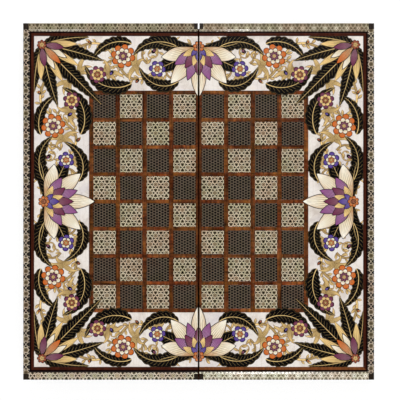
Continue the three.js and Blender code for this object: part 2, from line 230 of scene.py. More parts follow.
class Wiring:
    """Adds nodes to one tree and joins them up."""

    def __init__(self, tree):
        self.tree = tree

    def feed(self, socket, value):
        if isinstance(value, bpy.types.NodeSocket):
            self.tree.links.new(value, socket)
        else:
            socket.default_value = value

    def node(self, kind, inputs=None, **settings):
        node = self.tree.nodes.new(kind)
        for key, value in settings.items():
            setattr(node, key, value)
        for key, value in (inputs or {}).items():
            self.feed(node.inputs[key], value)
        return node

    def math(self, operation, *values, clamp=False):
        node = self.node("ShaderNodeMath", dict(enumerate(values)), operation=operation, use_clamp=clamp)
        return node.outputs[0]

    def largest(self, *values):
        first, *others = values
        for value in others:
            first = self.math("MAXIMUM", first, value)
        return first

    def below(self, value, edge, soft):
        """1 where the value is below the edge, fading to 0 over the soft width."""
        return self.math("MULTIPLY_ADD", value, -1.0 / soft, edge / soft + 0.5, clamp=True)

    def stretch(self, vector, scale, turn=0.0):
        inputs = {"Vector": vector, "Rotation": (0.0, 0.0, turn), "Scale": scale}
        return self.node("ShaderNodeMapping", inputs).outputs[0]

    def split(self, vector):
        return self.node("ShaderNodeSeparateXYZ", {0: vector}).outputs

    def combine(self, *values):
        return self.node("ShaderNodeCombineXYZ", dict(enumerate(values))).outputs[0]

    def noise(self, vector, scale, detail=3.0, roughness=0.5, distortion=0.0):
        inputs = {
            "Vector": vector,
            "Scale": scale,
            "Detail": detail,
            "Roughness": roughness,
            "Distortion": distortion,
        }
        return self.node("ShaderNodeTexNoise", inputs).outputs[0]

    def mix(self, share, a, b, blend="MIX"):
        node = self.node("ShaderNodeMix", data_type="RGBA", blend_type=blend)
        for index, value in ((0, share), (6, a), (7, b)):
            self.feed(node.inputs[index], value)
        return node.outputs[2]

    def dim(self, tint, level):
        """A colour times a level."""
        return self.mix(1.0, tint, self.combine(level, level, level), "MULTIPLY")

    def scale_range(self, value, low, high, new_low, new_high):
        inputs = dict(enumerate((value, low, high, new_low, new_high)))
        return self.node("ShaderNodeMapRange", inputs).outputs[0]

    def ramp(self, value, stops):
        node = self.node("ShaderNodeValToRGB", {0: value})
        elements = node.color_ramp.elements
        while len(elements) < len(stops):
            elements.new(0.5)
        for element, (place, code) in zip(elements, stops):
            element.position = place
            element.color = code
        return node.outputs[0]

    def bump(self, height, distance, strength):
        inputs = {"Height": height, "Distance": distance, "Strength": strength}
        return self.node("ShaderNodeBump", inputs).outputs[0]

    def group(self, tree, inputs):
        node = self.tree.nodes.new("ShaderNodeGroup")
        node.node_tree = tree
        for key, value in inputs.items():
            self.feed(node.inputs[key], value)
        return node.outputs

    def place(self):
        return self.node("ShaderNodeTexCoord").outputs["Object"]


def shader_group(name, inputs, outputs):
    """A new shader node group with named sockets, ready to be wired."""
    tree = bpy.data.node_groups.new(name, "ShaderNodeTree")
    for label, value in inputs.items():
        kind = "NodeSocketVector" if value is None else "NodeSocketFloat"
        socket = tree.interface.new_socket(label, in_out="INPUT", socket_type=kind)
        if value is not None:
            socket.default_value = value
    for label in outputs:
        tree.interface.new_socket(label, in_out="OUTPUT", socket_type="NodeSocketFloat")
    given = tree.nodes.new("NodeGroupInput").outputs
    return tree, Wiring(tree), given, tree.nodes.new("NodeGroupOutput").inputs


def once(build):
    """Builds a node group or material the first time its name is asked for, and then finds it."""

    @functools.wraps(build)
    def find(name, *values, **options):
        for store in (bpy.data.materials, bpy.data.node_groups):
            if name in store:
                return store[name]
        return build(name, *values, **options)

    return find


@once
def star_net(name):
    """Three sets of parallel lines that cut a plane into hexagons and triangles, as in star inlay."""
    outputs = ("Reach", "Triangle", "Star", "Wedge", "Points", "Shade")
    tree, wires, given, put = shader_group(name, {"Vector": None, "Pitch": 0.0144}, outputs)
    x, y, _ = wires.split(given["Vector"])
    per_step = wires.math("DIVIDE", 2.0, given["Pitch"])
    along = wires.math("MULTIPLY", x, per_step)
    rise = wires.math("MULTIPLY", wires.math("MULTIPLY", y, per_step), math.sqrt(0.75))
    lean = wires.math("MULTIPLY", along, 0.5)
    across = [along, wires.math("ADD", rise, lean), wires.math("SUBTRACT", rise, lean)]
    cells = [wires.math("ROUND", value) for value in across]
    rests = [wires.math("SUBTRACT", value, cell) for value, cell in zip(across, cells)]
    wires.feed(put["Reach"], wires.largest(*(wires.math("ABSOLUTE", rest) for rest in rests)))
    odd = wires.math("SUBTRACT", wires.math("SUBTRACT", cells[1], cells[0]), cells[2])
    triangle = wires.math("ABSOLUTE", odd)
    wires.feed(put["Triangle"], triangle)
    turn = wires.math("FLOORED_MODULO", wires.math("SUBTRACT", cells[0], cells[2]), 3.0)
    hexagon = wires.math("SUBTRACT", 1.0, triangle)
    star = wires.math("MULTIPLY", hexagon, wires.below(turn, 0.5, 0.1))
    wires.feed(put["Star"], star)
    hand = wires.math("MULTIPLY_ADD", turn, -2.0, 3.0)
    toward = [
        wires.math("ADD", rests[1], rests[2]),
        wires.math("MULTIPLY", wires.math("ADD", rests[0], rests[1]), -1.0),
        wires.math("SUBTRACT", rests[0], rests[2]),
    ]
    wedge = wires.largest(*(wires.math("MULTIPLY", value, hand) for value in toward))
    back = wires.largest(*(wires.math("MULTIPLY", value, -1.0) for value in toward))
    points = wires.math("MINIMUM", wires.largest(*toward), back)
    per_side = 1.0 / math.sqrt(3.0)
    wires.feed(put["Points"], wires.math("MULTIPLY", points, per_side))
    apart = wires.math("ADD", star, triangle)
    wires.feed(put["Wedge"], wires.math("MULTIPLY_ADD", wedge, per_side, apart))
    own = wires.node("ShaderNodeTexWhiteNoise", {"Vector": wires.combine(*cells)})
    wires.feed(put["Shade"], own.outputs["Value"])
    return tree


@once
def wood_grain(name):
    """Grain that runs along Y: broad bands, cross figure and fine pores."""
    tree, wires, given, put = shader_group(
        name, {"Vector": None, "Fineness": 1.0}, ("Bands", "Figure", "Pores")
    )
    vector = wires.node(
        "ShaderNodeVectorMath", {0: given["Vector"], "Scale": given["Fineness"]}, operation="SCALE"
    ).outputs[0]
    long = wires.stretch(vector, (1.0, 0.07, 1.0))
    wires.feed(put["Bands"], wires.noise(long, 170.0, 5.0, 0.62, 0.9))
    curl = wires.stretch(vector, (0.25, 1.0, 0.4))
    wires.feed(put["Figure"], wires.noise(curl, 230.0, 3.0, 0.55, 0.6))
    thin = wires.stretch(vector, (1.0, 0.035, 1.0))
    pores = wires.noise(thin, 1500.0, 2.0, 0.5)
    wires.feed(put["Pores"], wires.below(pores, 0.41, 0.09))
    return tree


@once
def lacquer_coat(name):
    """Uneven gloss of old lacquer, with faint ripples and rubbed patches."""
    tree, wires, given, put = shader_group(
        name, {"Vector": None, "Gloss": 0.3, "Wear": 0.06}, ("Roughness", "Ripple")
    )
    patches = wires.noise(given["Vector"], 26.0, 4.0, 0.6)
    grit = wires.noise(given["Vector"], 900.0, 2.0, 0.5)
    rubbed = wires.math("MULTIPLY", wires.math("SUBTRACT", patches, 0.5), given["Wear"])
    rough = wires.math("ADD", given["Gloss"], wires.math("MULTIPLY", rubbed, 2.0))
    fine = wires.math("MULTIPLY_ADD", grit, 0.08, -0.04)
    wires.feed(put["Roughness"], wires.math("ADD", rough, fine, clamp=True))
    wires.feed(put["Ripple"], wires.noise(given["Vector"], 150.0, 2.0, 0.5))
    return tree


@once
def brush_marks(name):
    """Where a point lies in its painted shape, with streaks that follow the brush."""
    outputs = ("Along", "Across", "Rim", "Grow", "Side", "Streak", "Body")
    tree, wires, given, put = shader_group(name, {"Vector": None}, outputs)
    drawn = wires.node("ShaderNodeAttribute", attribute_name="Brush").outputs["Vector"]
    growth = wires.node("ShaderNodeAttribute", attribute_name="Growth").outputs["Vector"]
    along, across, rim = wires.split(drawn)
    grow, side, seed = wires.split(growth)
    values = {"Along": along, "Rim": rim, "Grow": grow}
    values["Across"] = wires.math("ABSOLUTE", across)
    values["Side"] = wires.math("ABSOLUTE", side)
    pulled = wires.combine(wires.math("MULTIPLY", along, 0.1), across, seed)
    values["Streak"] = wires.noise(pulled, 1700.0, 3.0, 0.6, 0.3)
    values["Body"] = wires.noise(given["Vector"], 150.0, 4.0, 0.6, 0.4)
    for label, value in values.items():
        wires.feed(put[label], value)
    return tree


def new_material(name):
    """A new material, the wiring of its nodes and its shader."""
    material = bpy.data.materials.new(name)
    material.use_nodes = True
    shader = material.node_tree.nodes["Principled BSDF"]
    return material, Wiring(material.node_tree), shader


# Surfaces


def lacquer(wires, gloss):
    """Roughness and ripple of a coat of lacquer."""
    return wires.group(lacquer_coat("Lacquer coat"), {"Vector": wires.place(), "Gloss": gloss})


@once
def star_inlay(name, place, pitch, paints, net=0.11, wedge=0.21, pip=0.1, dot=0.0, gloss=0.2, rim=None):
    """Star inlay of cut rods. Paints are net, ground, small, large, heart, ring, pip and wire.

    Past the rim, across the pattern, it is a dull black line.
    """
    soft = 0.03
    material, wires, shader = new_material(name)
    position = wires.place()
    flat = place(wires, position)
    cells = wires.group(star_net("Star net"), {"Vector": flat, "Pitch": pitch})
    reach = cells["Reach"]
    tint = wires.mix(wires.below(cells["Wedge"], wedge, soft), paints["ground"], paints["large"])
    star = wires.mix(wires.below(cells["Points"], 0.2, soft), paints["ring"], paints["heart"])
    star = wires.mix(wires.below(reach, pip, soft), star, paints["pip"])
    tint = wires.mix(cells["Star"], tint, star)
    if dot:
        deep = wires.math("MULTIPLY_ADD", cells["Shade"], 0.3, 0.7)
        holes = wires.math("MULTIPLY", wires.below(reach, dot, 2 * soft), deep)
        tint = wires.mix(holes, tint, paints["large"])
    inside = wires.math("SUBTRACT", 0.5, reach)
    line = wires.below(inside, net, soft)
    tint = wires.mix(line, tint, paints["net"])
    tint = wires.mix(cells["Triangle"], tint, paints["small"])
    hair = wires.below(inside, 0.008, 0.012)
    tint = wires.mix(wires.math("MULTIPLY", hair, 0.5), tint, paints["wire"])
    cloud = wires.noise(position, 60.0, 4.0, 0.6)
    fleck = wires.noise(position, 1300.0, 2.0, 0.6)
    level = wires.math("MULTIPLY_ADD", cells["Shade"], 0.2, 0.78)
    level = wires.math("MULTIPLY_ADD", cloud, 0.14, level)
    tint = wires.dim(tint, wires.math("MULTIPLY_ADD", fleck, 0.12, level))
    stops = ((0.36, tone("ecf0e4")), (0.5, tone("fffffe")), (0.64, tone("f6eae6")))
    stained = wires.ramp(wires.noise(position, 36.0, 3.0, 0.6), stops)
    tint = wires.mix(1.0, tint, stained, "MULTIPLY")
    coat = lacquer(wires, gloss)
    rough = coat["Roughness"]
    if rim is not None:
        past = wires.below(wires.split(flat)[1], rim, 0.1 * MM)
        tint = wires.mix(past, tint, tone(BLACK_LINE))
        rough = wires.math("MULTIPLY_ADD", past, 0.5, rough)
    wires.feed(shader.inputs["Base Color"], tint)
    wires.feed(shader.inputs["Roughness"], rough)
    height = wires.math("MULTIPLY_ADD", line, 1.2, coat["Ripple"])
    wires.feed(shader.inputs["Normal"], wires.bump(height, 0.02 * MM, 0.5))
    return material


@once
def wood(name, base, axis="y", fineness=1.0, gloss=0.3, contrast=1.0, drawn=1.0):
    """Lacquered wood whose grain runs along one axis, with its broad stains drawn out along it."""
    material, wires, shader = new_material(name)
    position = wires.place()
    turned = wires.stretch(position, (1.0, 1.0, 1.0), math.pi / 2) if axis == "x" else position
    grain = wires.group(wood_grain("Wood grain"), {"Vector": turned, "Fineness": fineness})
    stops = (
        (0.28, shade(base, max(0.2, 1.0 - 0.5 * contrast))),
        (0.5, base),
        (0.72, shade(base, 1.0 + 0.55 * contrast)),
    )
    tint = wires.ramp(grain["Bands"], stops)
    darkest = max(0.4, 1.0 - 0.45 * contrast)
    figure = wires.scale_range(grain["Figure"], 0.3, 0.7, darkest, 1.0 + 0.5 * contrast)
    flow = wires.stretch(turned, (1.0, drawn, 1.0))
    drift = wires.noise(flow, 24.0, 3.0, 0.6)
    darkest = max(0.45, 1.0 - 0.28 * contrast)
    broad = wires.scale_range(drift, 0.3, 0.7, darkest, 1.0 + 0.3 * contrast)
    tint = wires.dim(tint, wires.math("MULTIPLY", figure, broad))
    stops = ((0.4, tone("ffdcd2")), (0.5, tone("fffffe")), (0.6, tone("f2fcd8")))
    stained = wires.ramp(wires.noise(flow, 48.0, 3.0, 0.6), stops)
    tint = wires.mix(min(1.0, 0.5 * contrast), tint, stained, "MULTIPLY")
    tint = wires.mix(wires.math("MULTIPLY", grain["Pores"], 0.55), tint, shade(base, 0.25))
    wires.feed(shader.inputs["Base Color"], tint)
    coat = lacquer(wires, gloss)
    dull = wires.math("MULTIPLY_ADD", grain["Pores"], 0.15, coat["Roughness"], clamp=True)
    wires.feed(shader.inputs["Roughness"], dull)
    height = wires.math("SUBTRACT", wires.math("MULTIPLY", coat["Ripple"], 0.4), grain["Pores"])
    wires.feed(shader.inputs["Normal"], wires.bump(height, 0.04 * MM, 0.45))
    return material


@once
def lined_fillet(name, base, pale, line):
    """Dark wood with a black line beside the border. Its near run on the right half is painted paler: a
    painted sheen of the lacquer there.
    """
    material, wires, shader = new_material(name)
    position = wires.place()
    x, y, z = wires.split(position)
    grain = wires.group(wood_grain("Wood grain"), {"Vector": position, "Fineness": 1.6})
    field_low, field_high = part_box("right_painted_field")
    past_side = wires.math("SUBTRACT", x, field_high.x)
    past_end = wires.math("SUBTRACT", y, field_low.y)
    # Mask of the near run of the right half, where the paler tone is painted in as a painted sheen
    short_of_mitre = wires.below(wires.math("ADD", past_side, past_end), 0.0, 0.1 * MM)
    near = wires.math("MULTIPLY", short_of_mitre, wires.math("GREATER_THAN", x, 0.0))
    own = wires.mix(near, base, pale)
    tint = wires.dim(own, wires.scale_range(grain["Bands"], 0.3, 0.75, 0.55, 1.7))
    low = wires.below(z, FIELD_TOP - 0.1 * MM, 0.15 * MM)
    wires.feed(shader.inputs["Base Color"], wires.mix(low, tint, line))
    coat = lacquer(wires, 0.28)
    wires.feed(shader.inputs["Roughness"], coat["Roughness"])
    shader.inputs["Specular IOR Level"].default_value = 0.15
    height = wires.math("SUBTRACT", wires.math("MULTIPLY", coat["Ripple"], 0.5), grain["Pores"])
    wires.feed(shader.inputs["Normal"], wires.bump(height, 0.04 * MM, 0.4))
    return material


@once
def ivory_ground(name):
    """Ivory ground with soft stains, faint growth lines and hair cracks."""
    material, wires, shader = new_material(name)
    position = wires.place()
    cloud = wires.noise(position, 34.0, 5.0, 0.6, 0.5)
    stops = ((0.3, tone("d2c6bc")), (0.5, tuple(colours().ivory)), (0.72, tone("f3ede8")))
    tint = wires.ramp(cloud, stops)
    lilac = wires.scale_range(wires.noise(position, 17.0, 4.0, 0.55, 0.8), 0.52, 0.72, 0.0, 0.55)
    tint = wires.mix(lilac, tint, tone("cac1c8"))
    lines = wires.noise(wires.stretch(position, (1.0, 0.05, 1.0), 0.12), 480.0, 3.0, 0.6)
    tint = wires.mix(wires.scale_range(lines, 0.5, 0.75, 0.0, 0.22), tint, tone("b9a68c"))
    cells = wires.node(
        "ShaderNodeTexVoronoi", {"Vector": position, "Scale": 105.0}, feature="DISTANCE_TO_EDGE"
    )
    cracks = wires.below(cells.outputs["Distance"], 0.008, 0.01)
    tint = wires.mix(wires.math("MULTIPLY", cracks, 0.35), tint, tone("8d7a63"))
    wires.feed(shader.inputs["Base Color"], tint)
    coat = lacquer(wires, 0.36)
    wires.feed(shader.inputs["Roughness"], coat["Roughness"])
    height = wires.math("SUBTRACT", coat["Ripple"], wires.math("MULTIPLY", cracks, 0.6))
    wires.feed(shader.inputs["Normal"], wires.bump(height, 0.05 * MM, 0.35))
    return material


def stripes(wires, value, pitch, half):
    """Thin lines at every pitch of a value."""
    cell = wires.math("DIVIDE", value, pitch)
    away = wires.math("ABSOLUTE", wires.math("SUBTRACT", cell, wires.math("ROUND", cell)))
    return wires.below(wires.math("MULTIPLY", away, pitch), half, half)


def finish_paint(wires, shader, marks, tint, gloss):
    """Streaks the tint along the brush and puts it under lacquer."""
    streaked = wires.dim(tint, wires.scale_range(marks["Streak"], 0.3, 0.7, 0.8, 1.2))
    wires.feed(shader.inputs["Base Color"], streaked)
    wires.feed(shader.inputs["Roughness"], lacquer(wires, gloss)["Roughness"])
    wires.feed(shader.inputs["Normal"], wires.bump(marks["Streak"], 0.05 * MM, 0.4))


@once
def brushed(name, root, base, tip, line, edge=0.7, hairs=0, hair=None):
    """Paint that shades from root to tip, with an outline and hair lines that follow the shape."""
    material, wires, shader = new_material(name)
    marks = wires.group(brush_marks("Brush marks"), {"Vector": wires.place()})
    wander = wires.math("SUBTRACT", marks["Body"], 0.5)
    reach = wires.math("MULTIPLY_ADD", wander, 0.6, marks["Grow"])
    tint = wires.ramp(reach, ((0.15, root), (0.55, tuple(base)), (0.95, tip)))
    flank = wires.math("MULTIPLY", wires.math("POWER", marks["Side"], 3.0), 0.6)
    tint = wires.mix(flank, tint, root)
    if hairs:
        fine = stripes(wires, marks["Side"], 1.0 / hairs, 0.16 / hairs)
        fade = wires.scale_range(marks["Grow"], 0.45, 0.95, 0.8, 0.0)
        tint = wires.mix(wires.math("MULTIPLY", fine, fade), tint, hair)
    outline = wires.below(marks["Rim"], edge * MM, 0.25 * MM)
    lobes = wires.below(wires.math("SUBTRACT", 1.0, marks["Side"]), 0.06, 0.08)
    tint = wires.mix(wires.largest(outline, lobes), tint, line)
    finish_paint(wires, shader, marks, tint, 0.22)
    return material


@once
def veined(name, base, vein):
    """Dark leaf paint with a rib, slanting veins and a fine line inside the edge."""
    material, wires, shader = new_material(name)
    marks = wires.group(brush_marks("Brush marks"), {"Vector": wires.place()})
    across = marks["Across"]
    stops = ((0.3, shade(base, 0.5)), (0.5, tuple(base)), (0.8, shade(base, 2.0)))
    tint = wires.ramp(marks["Body"], stops)
    thin = wires.math("MULTIPLY_ADD", marks["Grow"], -0.45 * MM, 0.6 * MM)
    rib = wires.below(wires.math("SUBTRACT", across, thin), 0.0, 0.2 * MM)
    slant = wires.math("MULTIPLY_ADD", across, -0.9, marks["Along"])
    veins = stripes(wires, slant, 5.2 * MM, 0.13 * MM)
    veins = wires.math("MULTIPLY", veins, wires.below(marks["Side"], 0.62, 0.1))
    beside = wires.math("ABSOLUTE", wires.math("SUBTRACT", marks["Rim"], 1.1 * MM))
    inner = wires.below(beside, 0.1 * MM, 0.15 * MM)
    faint = wires.largest(wires.math("MULTIPLY", veins, 0.5), wires.math("MULTIPLY", inner, 0.3))
    tint = wires.mix(wires.largest(rib, faint), tint, tuple(vein))
    finish_paint(wires, shader, marks, tint, 0.2)
    return material


@once
def metal(name, base, tarnish, gloss=0.3):
    """Drawn metal with fine draw lines along Y and dull tarnished patches."""
    material, wires, shader = new_material(name)
    position = wires.place()
    lines = wires.noise(wires.stretch(position, (1.0, 0.03, 1.0)), 2600.0, 3.0, 0.6)
    patches = wires.noise(position, 130.0, 5.0, 0.65)
    dull = wires.scale_range(patches, 0.48, 0.72, 0.0, 0.75)
    wires.feed(shader.inputs["Base Color"], wires.mix(dull, base, tarnish))
    shader.inputs["Metallic"].default_value = 1.0
    rough = wires.math("MULTIPLY_ADD", dull, 0.3, gloss)
    rough = wires.math("MULTIPLY_ADD", wires.math("SUBTRACT", lines, 0.5), 0.2, rough, clamp=True)
    wires.feed(shader.inputs["Roughness"], rough)
    wires.feed(shader.inputs["Normal"], wires.bump(lines, 0.03 * MM, 0.3))
    return material


def inlay_paints(**changes):
    """Rod colours of the star inlay."""
    c = colours()
    paints = {
        "net": c.bone,
        "ground": tone("c2b49b"),
        "small": c.bark,
        "large": c.bark,
        "heart": c.heart,
        "ring": tone("524836"),
        "pip": c.bark,
        "wire": tone("8e713a"),
    }
    paints.update(changes)
    return {key: tuple(value) for key, value in paints.items()}


def border_inlay(edge, half):
    """Star inlay of the border on one edge of the board, in line with that edge."""
    s = sizes()
    low, high = CAD_BOX
    reach, inset, pitch = {
        "left": (-low.x, 3.8 * MM, s.side_pitch),
        "right": (high.x, 4.3 * MM, s.side_pitch),
        "near": (-low.y, 5.8 * MM, s.near_pitch),
        "far": (high.y, 7.0 * MM, s.far_pitch),
    }[edge]
    hand = 1.0 if edge in ("right", "far") else -1.0
    beside = edge in SIDES
    shift, codes = BORDER_STRIPS[edge, half]

    def place(wires, position):
        x, y, _ = wires.split(position)
        outward = wires.math("MULTIPLY_ADD", x if beside else y, hand, inset - reach)
        along = wires.math("ADD", y if beside else x, shift)
        return wires.combine(along, outward, 0.0)

    label = f"{edge.capitalize()} border inlay of the {half} half"
    net, ground, heart, ring, dark = (tone(code) for code in codes)
    paints = inlay_paints(net=net, ground=ground, heart=heart, ring=ring, small=dark, large=dark)
    if beside:
        return star_inlay(label, place, pitch, paints, net=0.062, wedge=0.33)
    rim = None
    if edge == "near":
        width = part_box("left_near_border")[1].y - low.y
        rim = inset - width + NEAR_LINES[half]
    return star_inlay(label, place, pitch, paints, gloss=0.13, rim=rim)


def light_inlay():
    """Pale stars of the light squares."""

    def place(wires, position):
        return wires.stretch(position, (0.952, 1.041, 1.0))

    c = colours()
    dark = shade(c.bark, 1.3)
    heart = shade(c.heart, 1.5)
    paints = inlay_paints(
        ground=tone("a5987f"), small=dark, large=dark, heart=heart, ring=tone("7d705b")
    )
    return star_inlay("Light star inlay", place, sizes().star_pitch, paints)


def dark_inlay():
    """Black dots of the dark squares, without wedges or pips."""

    def place(wires, position):
        return wires.stretch(position, (1.0, 1.153, 1.0))

    c = colours()
    pale = shade(c.slate, 1.75)
    ground = shade(c.slate, 0.86)
    dots = shade(c.ebony, 0.16)
    paints = inlay_paints(net=pale, ground=ground, small=pale, large=dots, heart=ground, ring=ground)
    options = {"net": 0.07, "wedge": -9.0, "pip": -1.0, "dot": 0.385}
    return star_inlay("Dark dot inlay", place, sizes().dot_pitch, paints, **options)


def band_inlay(side):
    """Star inlay of the bands round the outside, seen square to the wall."""
    low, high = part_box("left_outer_band")
    middle = (low.z + high.z) / 2

    def place(wires, position):
        x, y, z = wires.split(position)
        return wires.combine(y if side else x, wires.math("SUBTRACT", z, middle), 0.0)

    label = "Side band inlay" if side else "End band inlay"
    return star_inlay(label, place, sizes().side_pitch, inlay_paints())


# Meshes


def add_object(name, data):
    """Adds an object to the scene at the origin."""
    piece = bpy.data.objects.new(name, data)
    bpy.context.scene.collection.objects.link(piece)
    return piece


def add_piece(name, mesh, body, nodes=()):
    """Puts a finished mesh on its body, in place of the solids that it stands for."""
    piece = add_object(name, mesh)
    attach(piece, body)
    if nodes:
        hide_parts(*nodes)
    return piece


def dress(node, material):
    """Gives a solid of the frame its surface."""
    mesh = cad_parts[node].data
    if not mesh.materials:
        mesh.materials.append(material)
    for index in range(len(mesh.materials)):
        mesh.materials[index] = material


def smooth(mesh, degrees=ROUND_ANGLE):
    """Smooth shading over edges that turn by less than an angle."""
    mesh.shade_smooth()
    mesh.set_sharp_from_angle(angle=math.radians(degrees))


def solid_form(node):
    """A copy of a solid of the frame, with its loose triangles joined."""
    form = bmesh.new()
    form.from_mesh(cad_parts[node].data)
    bmesh.ops.remove_doubles(form, verts=form.verts, dist=JOIN_DISTANCE)
    return form


def ease_edges(form, edges, width):
    """Rounds edges off in two steps."""
    options = {"segments": 2, "profile": 0.6, "affect": "EDGES", "clamp_overlap": True}
    bmesh.ops.bevel(form, geom=edges, offset=width, offset_type="OFFSET", **options)


def plain_mesh(name, form, materials=()):
    """Turns a form into a mesh with its materials."""
    mesh = bpy.data.meshes.new(name)
    form.to_mesh(mesh)
    form.free()
    for material in materials:
        mesh.materials.append(material)
    return mesh


def final_mesh(piece):
    """The mesh of an object as its modifiers leave it."""
    graph = bpy.context.evaluated_depsgraph_get()
    graph.update()
    return bpy.data.meshes.new_from_object(piece.evaluated_get(graph), depsgraph=graph)


def ease(node, material, width=None, degrees=FLAT_ANGLE):
    """Replaces a solid by a copy with eased edges and one surface."""
    form = solid_form(node)
    flat = math.radians(1.0)
    bmesh.ops.dissolve_limit(form, angle_limit=flat, verts=form.verts[:], edges=form.edges[:])
    turn = math.radians(EASED_ANGLE)
    paired = [edge for edge in form.edges if len(edge.link_faces) == 2]
    sharp = [edge for edge in paired if edge.calc_face_angle(0.0) > turn]
    ease_edges(form, sharp, sizes().edge_round if width is None else width)
    for face in form.faces:
        face.material_index = 0
    mesh = plain_mesh(node + "_eased", form, [material])
    smooth(mesh, degrees)
    body = "left_half" if "left" in node else "right_half"
    return add_piece(node + "_dressed", mesh, body, [node])


def eased_block(name, size, width):
    """A block round the origin with eased edges."""
    form = bmesh.new()
    bmesh.ops.create_cube(form, size=1.0)
    bmesh.ops.scale(form, vec=Vector(size), verts=form.verts)
    ease_edges(form, form.edges[:], width)
    mesh = plain_mesh(name, form)
    smooth(mesh, FLAT_ANGLE)
    return mesh


def slotted_screw(node):
    """A copy of a screw round its own middle, with a slot cut across its head."""
    s = sizes()
    low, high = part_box(node)
    form = solid_form(node)
    bmesh.ops.translate(form, vec=-(low + high) / 2, verts=form.verts)
    screw = add_object("screw", plain_mesh("screw", form))
    across, turn = 10.0 * MM, 0.6
    cutter = add_object("slot", eased_block("slot", (across, s.slot_width, 2 * s.slot_depth), 0.0))
    cutter.location.z = -(high.z - low.z) / 2
    cutter.rotation_euler.z = turn
    cut = screw.modifiers.new("Slot", "BOOLEAN")
    cut.operation = "DIFFERENCE"
    cut.solver = "EXACT"
    cut.object = cutter
    result = final_mesh(screw)
    bpy.data.objects.remove(screw)
    bpy.data.objects.remove(cutter)
    smooth(result)
    return result


# Geometry nodes


def geometry_tree(name, inputs):
    """A new geometry tree with named inputs, ready to be wired."""
    tree = bpy.data.node_groups.new(name, "GeometryNodeTree")
    for label, kind in inputs.items():
        tree.interface.new_socket(label, in_out="INPUT", socket_type="NodeSocket" + kind)
    tree.interface.new_socket("Geometry", in_out="OUTPUT", socket_type="NodeSocketGeometry")
    given = tree.nodes.new("NodeGroupInput").outputs
    return tree, Wiring(tree), given, tree.nodes.new("NodeGroupOutput").inputs


def set_copies(wires, given, put, piece, settings):
    """Ends a tree: sets copies of an object on points, makes them real and gives them their surface."""
    shape = wires.node("GeometryNodeObjectInfo", {"Object": given[piece]}).outputs["Geometry"]
    copies = wires.node("GeometryNodeInstanceOnPoints", {"Instance": shape, **settings})
    real = wires.node("GeometryNodeRealizeInstances", {"Geometry": copies.outputs[0]})
    inputs = {"Geometry": real.outputs[0], "Material": given["Surface"]}
    wires.feed(put["Geometry"], wires.node("GeometryNodeSetMaterial", inputs).outputs[0])


@once
def board_repeat(name):
    """Repeats one piece over columns and rows, all of them or every second one."""
    tree, wires, given, put = geometry_tree(
        name,
        {
            "Geometry": "Geometry",
            "Piece": "Object",
            "Columns": "Int",
            "Rows": "Int",
            "Column pitch": "Float",
            "Row pitch": "Float",
            "Centre": "Vector",
            "Every second": "Int",
            "Surface": "Material",
        },
    )
    columns, rows = given["Columns"], given["Rows"]
    column_pitch, row_pitch = given["Column pitch"], given["Row pitch"]

    def span(count, pitch):
        return wires.math("MULTIPLY", wires.math("SUBTRACT", count, 1.0), pitch)

    def step(value, count, pitch):
        middle = wires.math("MULTIPLY", wires.math("SUBTRACT", count, 1.0), 0.5)
        return wires.math("ROUND", wires.math("ADD", wires.math("DIVIDE", value, pitch), middle))

    grid = wires.node(
        "GeometryNodeMeshGrid",
        {
            "Vertices X": columns,
            "Vertices Y": rows,
            "Size X": span(columns, column_pitch),
            "Size Y": span(rows, row_pitch),
        },
    )
    x, y, _ = wires.split(wires.node("GeometryNodeInputPosition").outputs[0])
    place = wires.math("ADD", step(x, columns, column_pitch), step(y, rows, row_pitch))
    parity = wires.math("FLOORED_MODULO", place, 2.0)
    wanted = wires.math("SUBTRACT", given["Every second"], 1.0)
    apart = wires.math("ABSOLUTE", wires.math("SUBTRACT", parity, wanted))
    matches = wires.math("LESS_THAN", apart, 0.5)
    every = wires.math("LESS_THAN", given["Every second"], 0.5)
    inputs = {"Mesh": grid.outputs["Mesh"], "Selection": wires.math("MAXIMUM", matches, every)}
    points = wires.node("GeometryNodeMeshToPoints", inputs).outputs[0]
    inputs = {"Geometry": points, "Offset": given["Centre"]}
    moved = wires.node("GeometryNodeSetPosition", inputs).outputs[0]
    set_copies(wires, given, put, "Piece", {"Points": moved})
    return tree


@once
def stem_leaves(name):
    """Small leaves set by turns on both sides of a stem."""
    tree, wires, given, put = geometry_tree(
        name,
        {
            "Geometry": "Geometry",
            "Leaf": "Object",
            "Gap": "Float",
            "Lean": "Float",
            "Least": "Float",
            "Greatest": "Float",
            "Seed": "Int",
            "Surface": "Material",
        },
    )
    inputs = {"Curve": given["Geometry"], "Length": given["Gap"]}
    points = wires.node("GeometryNodeCurveToPoints", inputs, mode="LENGTH")
    index = wires.node("GeometryNodeInputIndex").outputs[0]
    turn = wires.math("MULTIPLY_ADD", wires.math("FLOORED_MODULO", index, 2.0), 2.0, -1.0)
    x, y, _ = wires.split(points.outputs["Tangent"])
    heading = wires.math("MULTIPLY_ADD", turn, given["Lean"], wires.math("ARCTAN2", y, x))
    inputs = {2: given["Least"], 3: given["Greatest"], "Seed": given["Seed"]}
    spread = wires.node("FunctionNodeRandomValue", inputs, data_type="FLOAT").outputs[1]
    settings = {
        "Points": points.outputs["Points"],
        "Rotation": wires.combine(0.0, 0.0, heading),
        "Scale": wires.combine(spread, spread, 1.0),
    }
    set_copies(wires, given, put, "Leaf", settings)
    return tree


def grown(tree, carrier, values):
    """Runs a geometry tree on a carrier object and returns the result as a plain mesh."""
    modifier = carrier.modifiers.new("Grow", "NODES")
    modifier.node_group = tree
    for item in tree.interface.items_tree:
        if item.item_type == "SOCKET" and item.in_out == "INPUT" and item.name in values:
            modifier[item.identifier] = values[item.name]
    mesh = final_mesh(carrier)
    carrier.modifiers.remove(modifier)
    bpy.data.objects.remove(carrier)
    return mesh


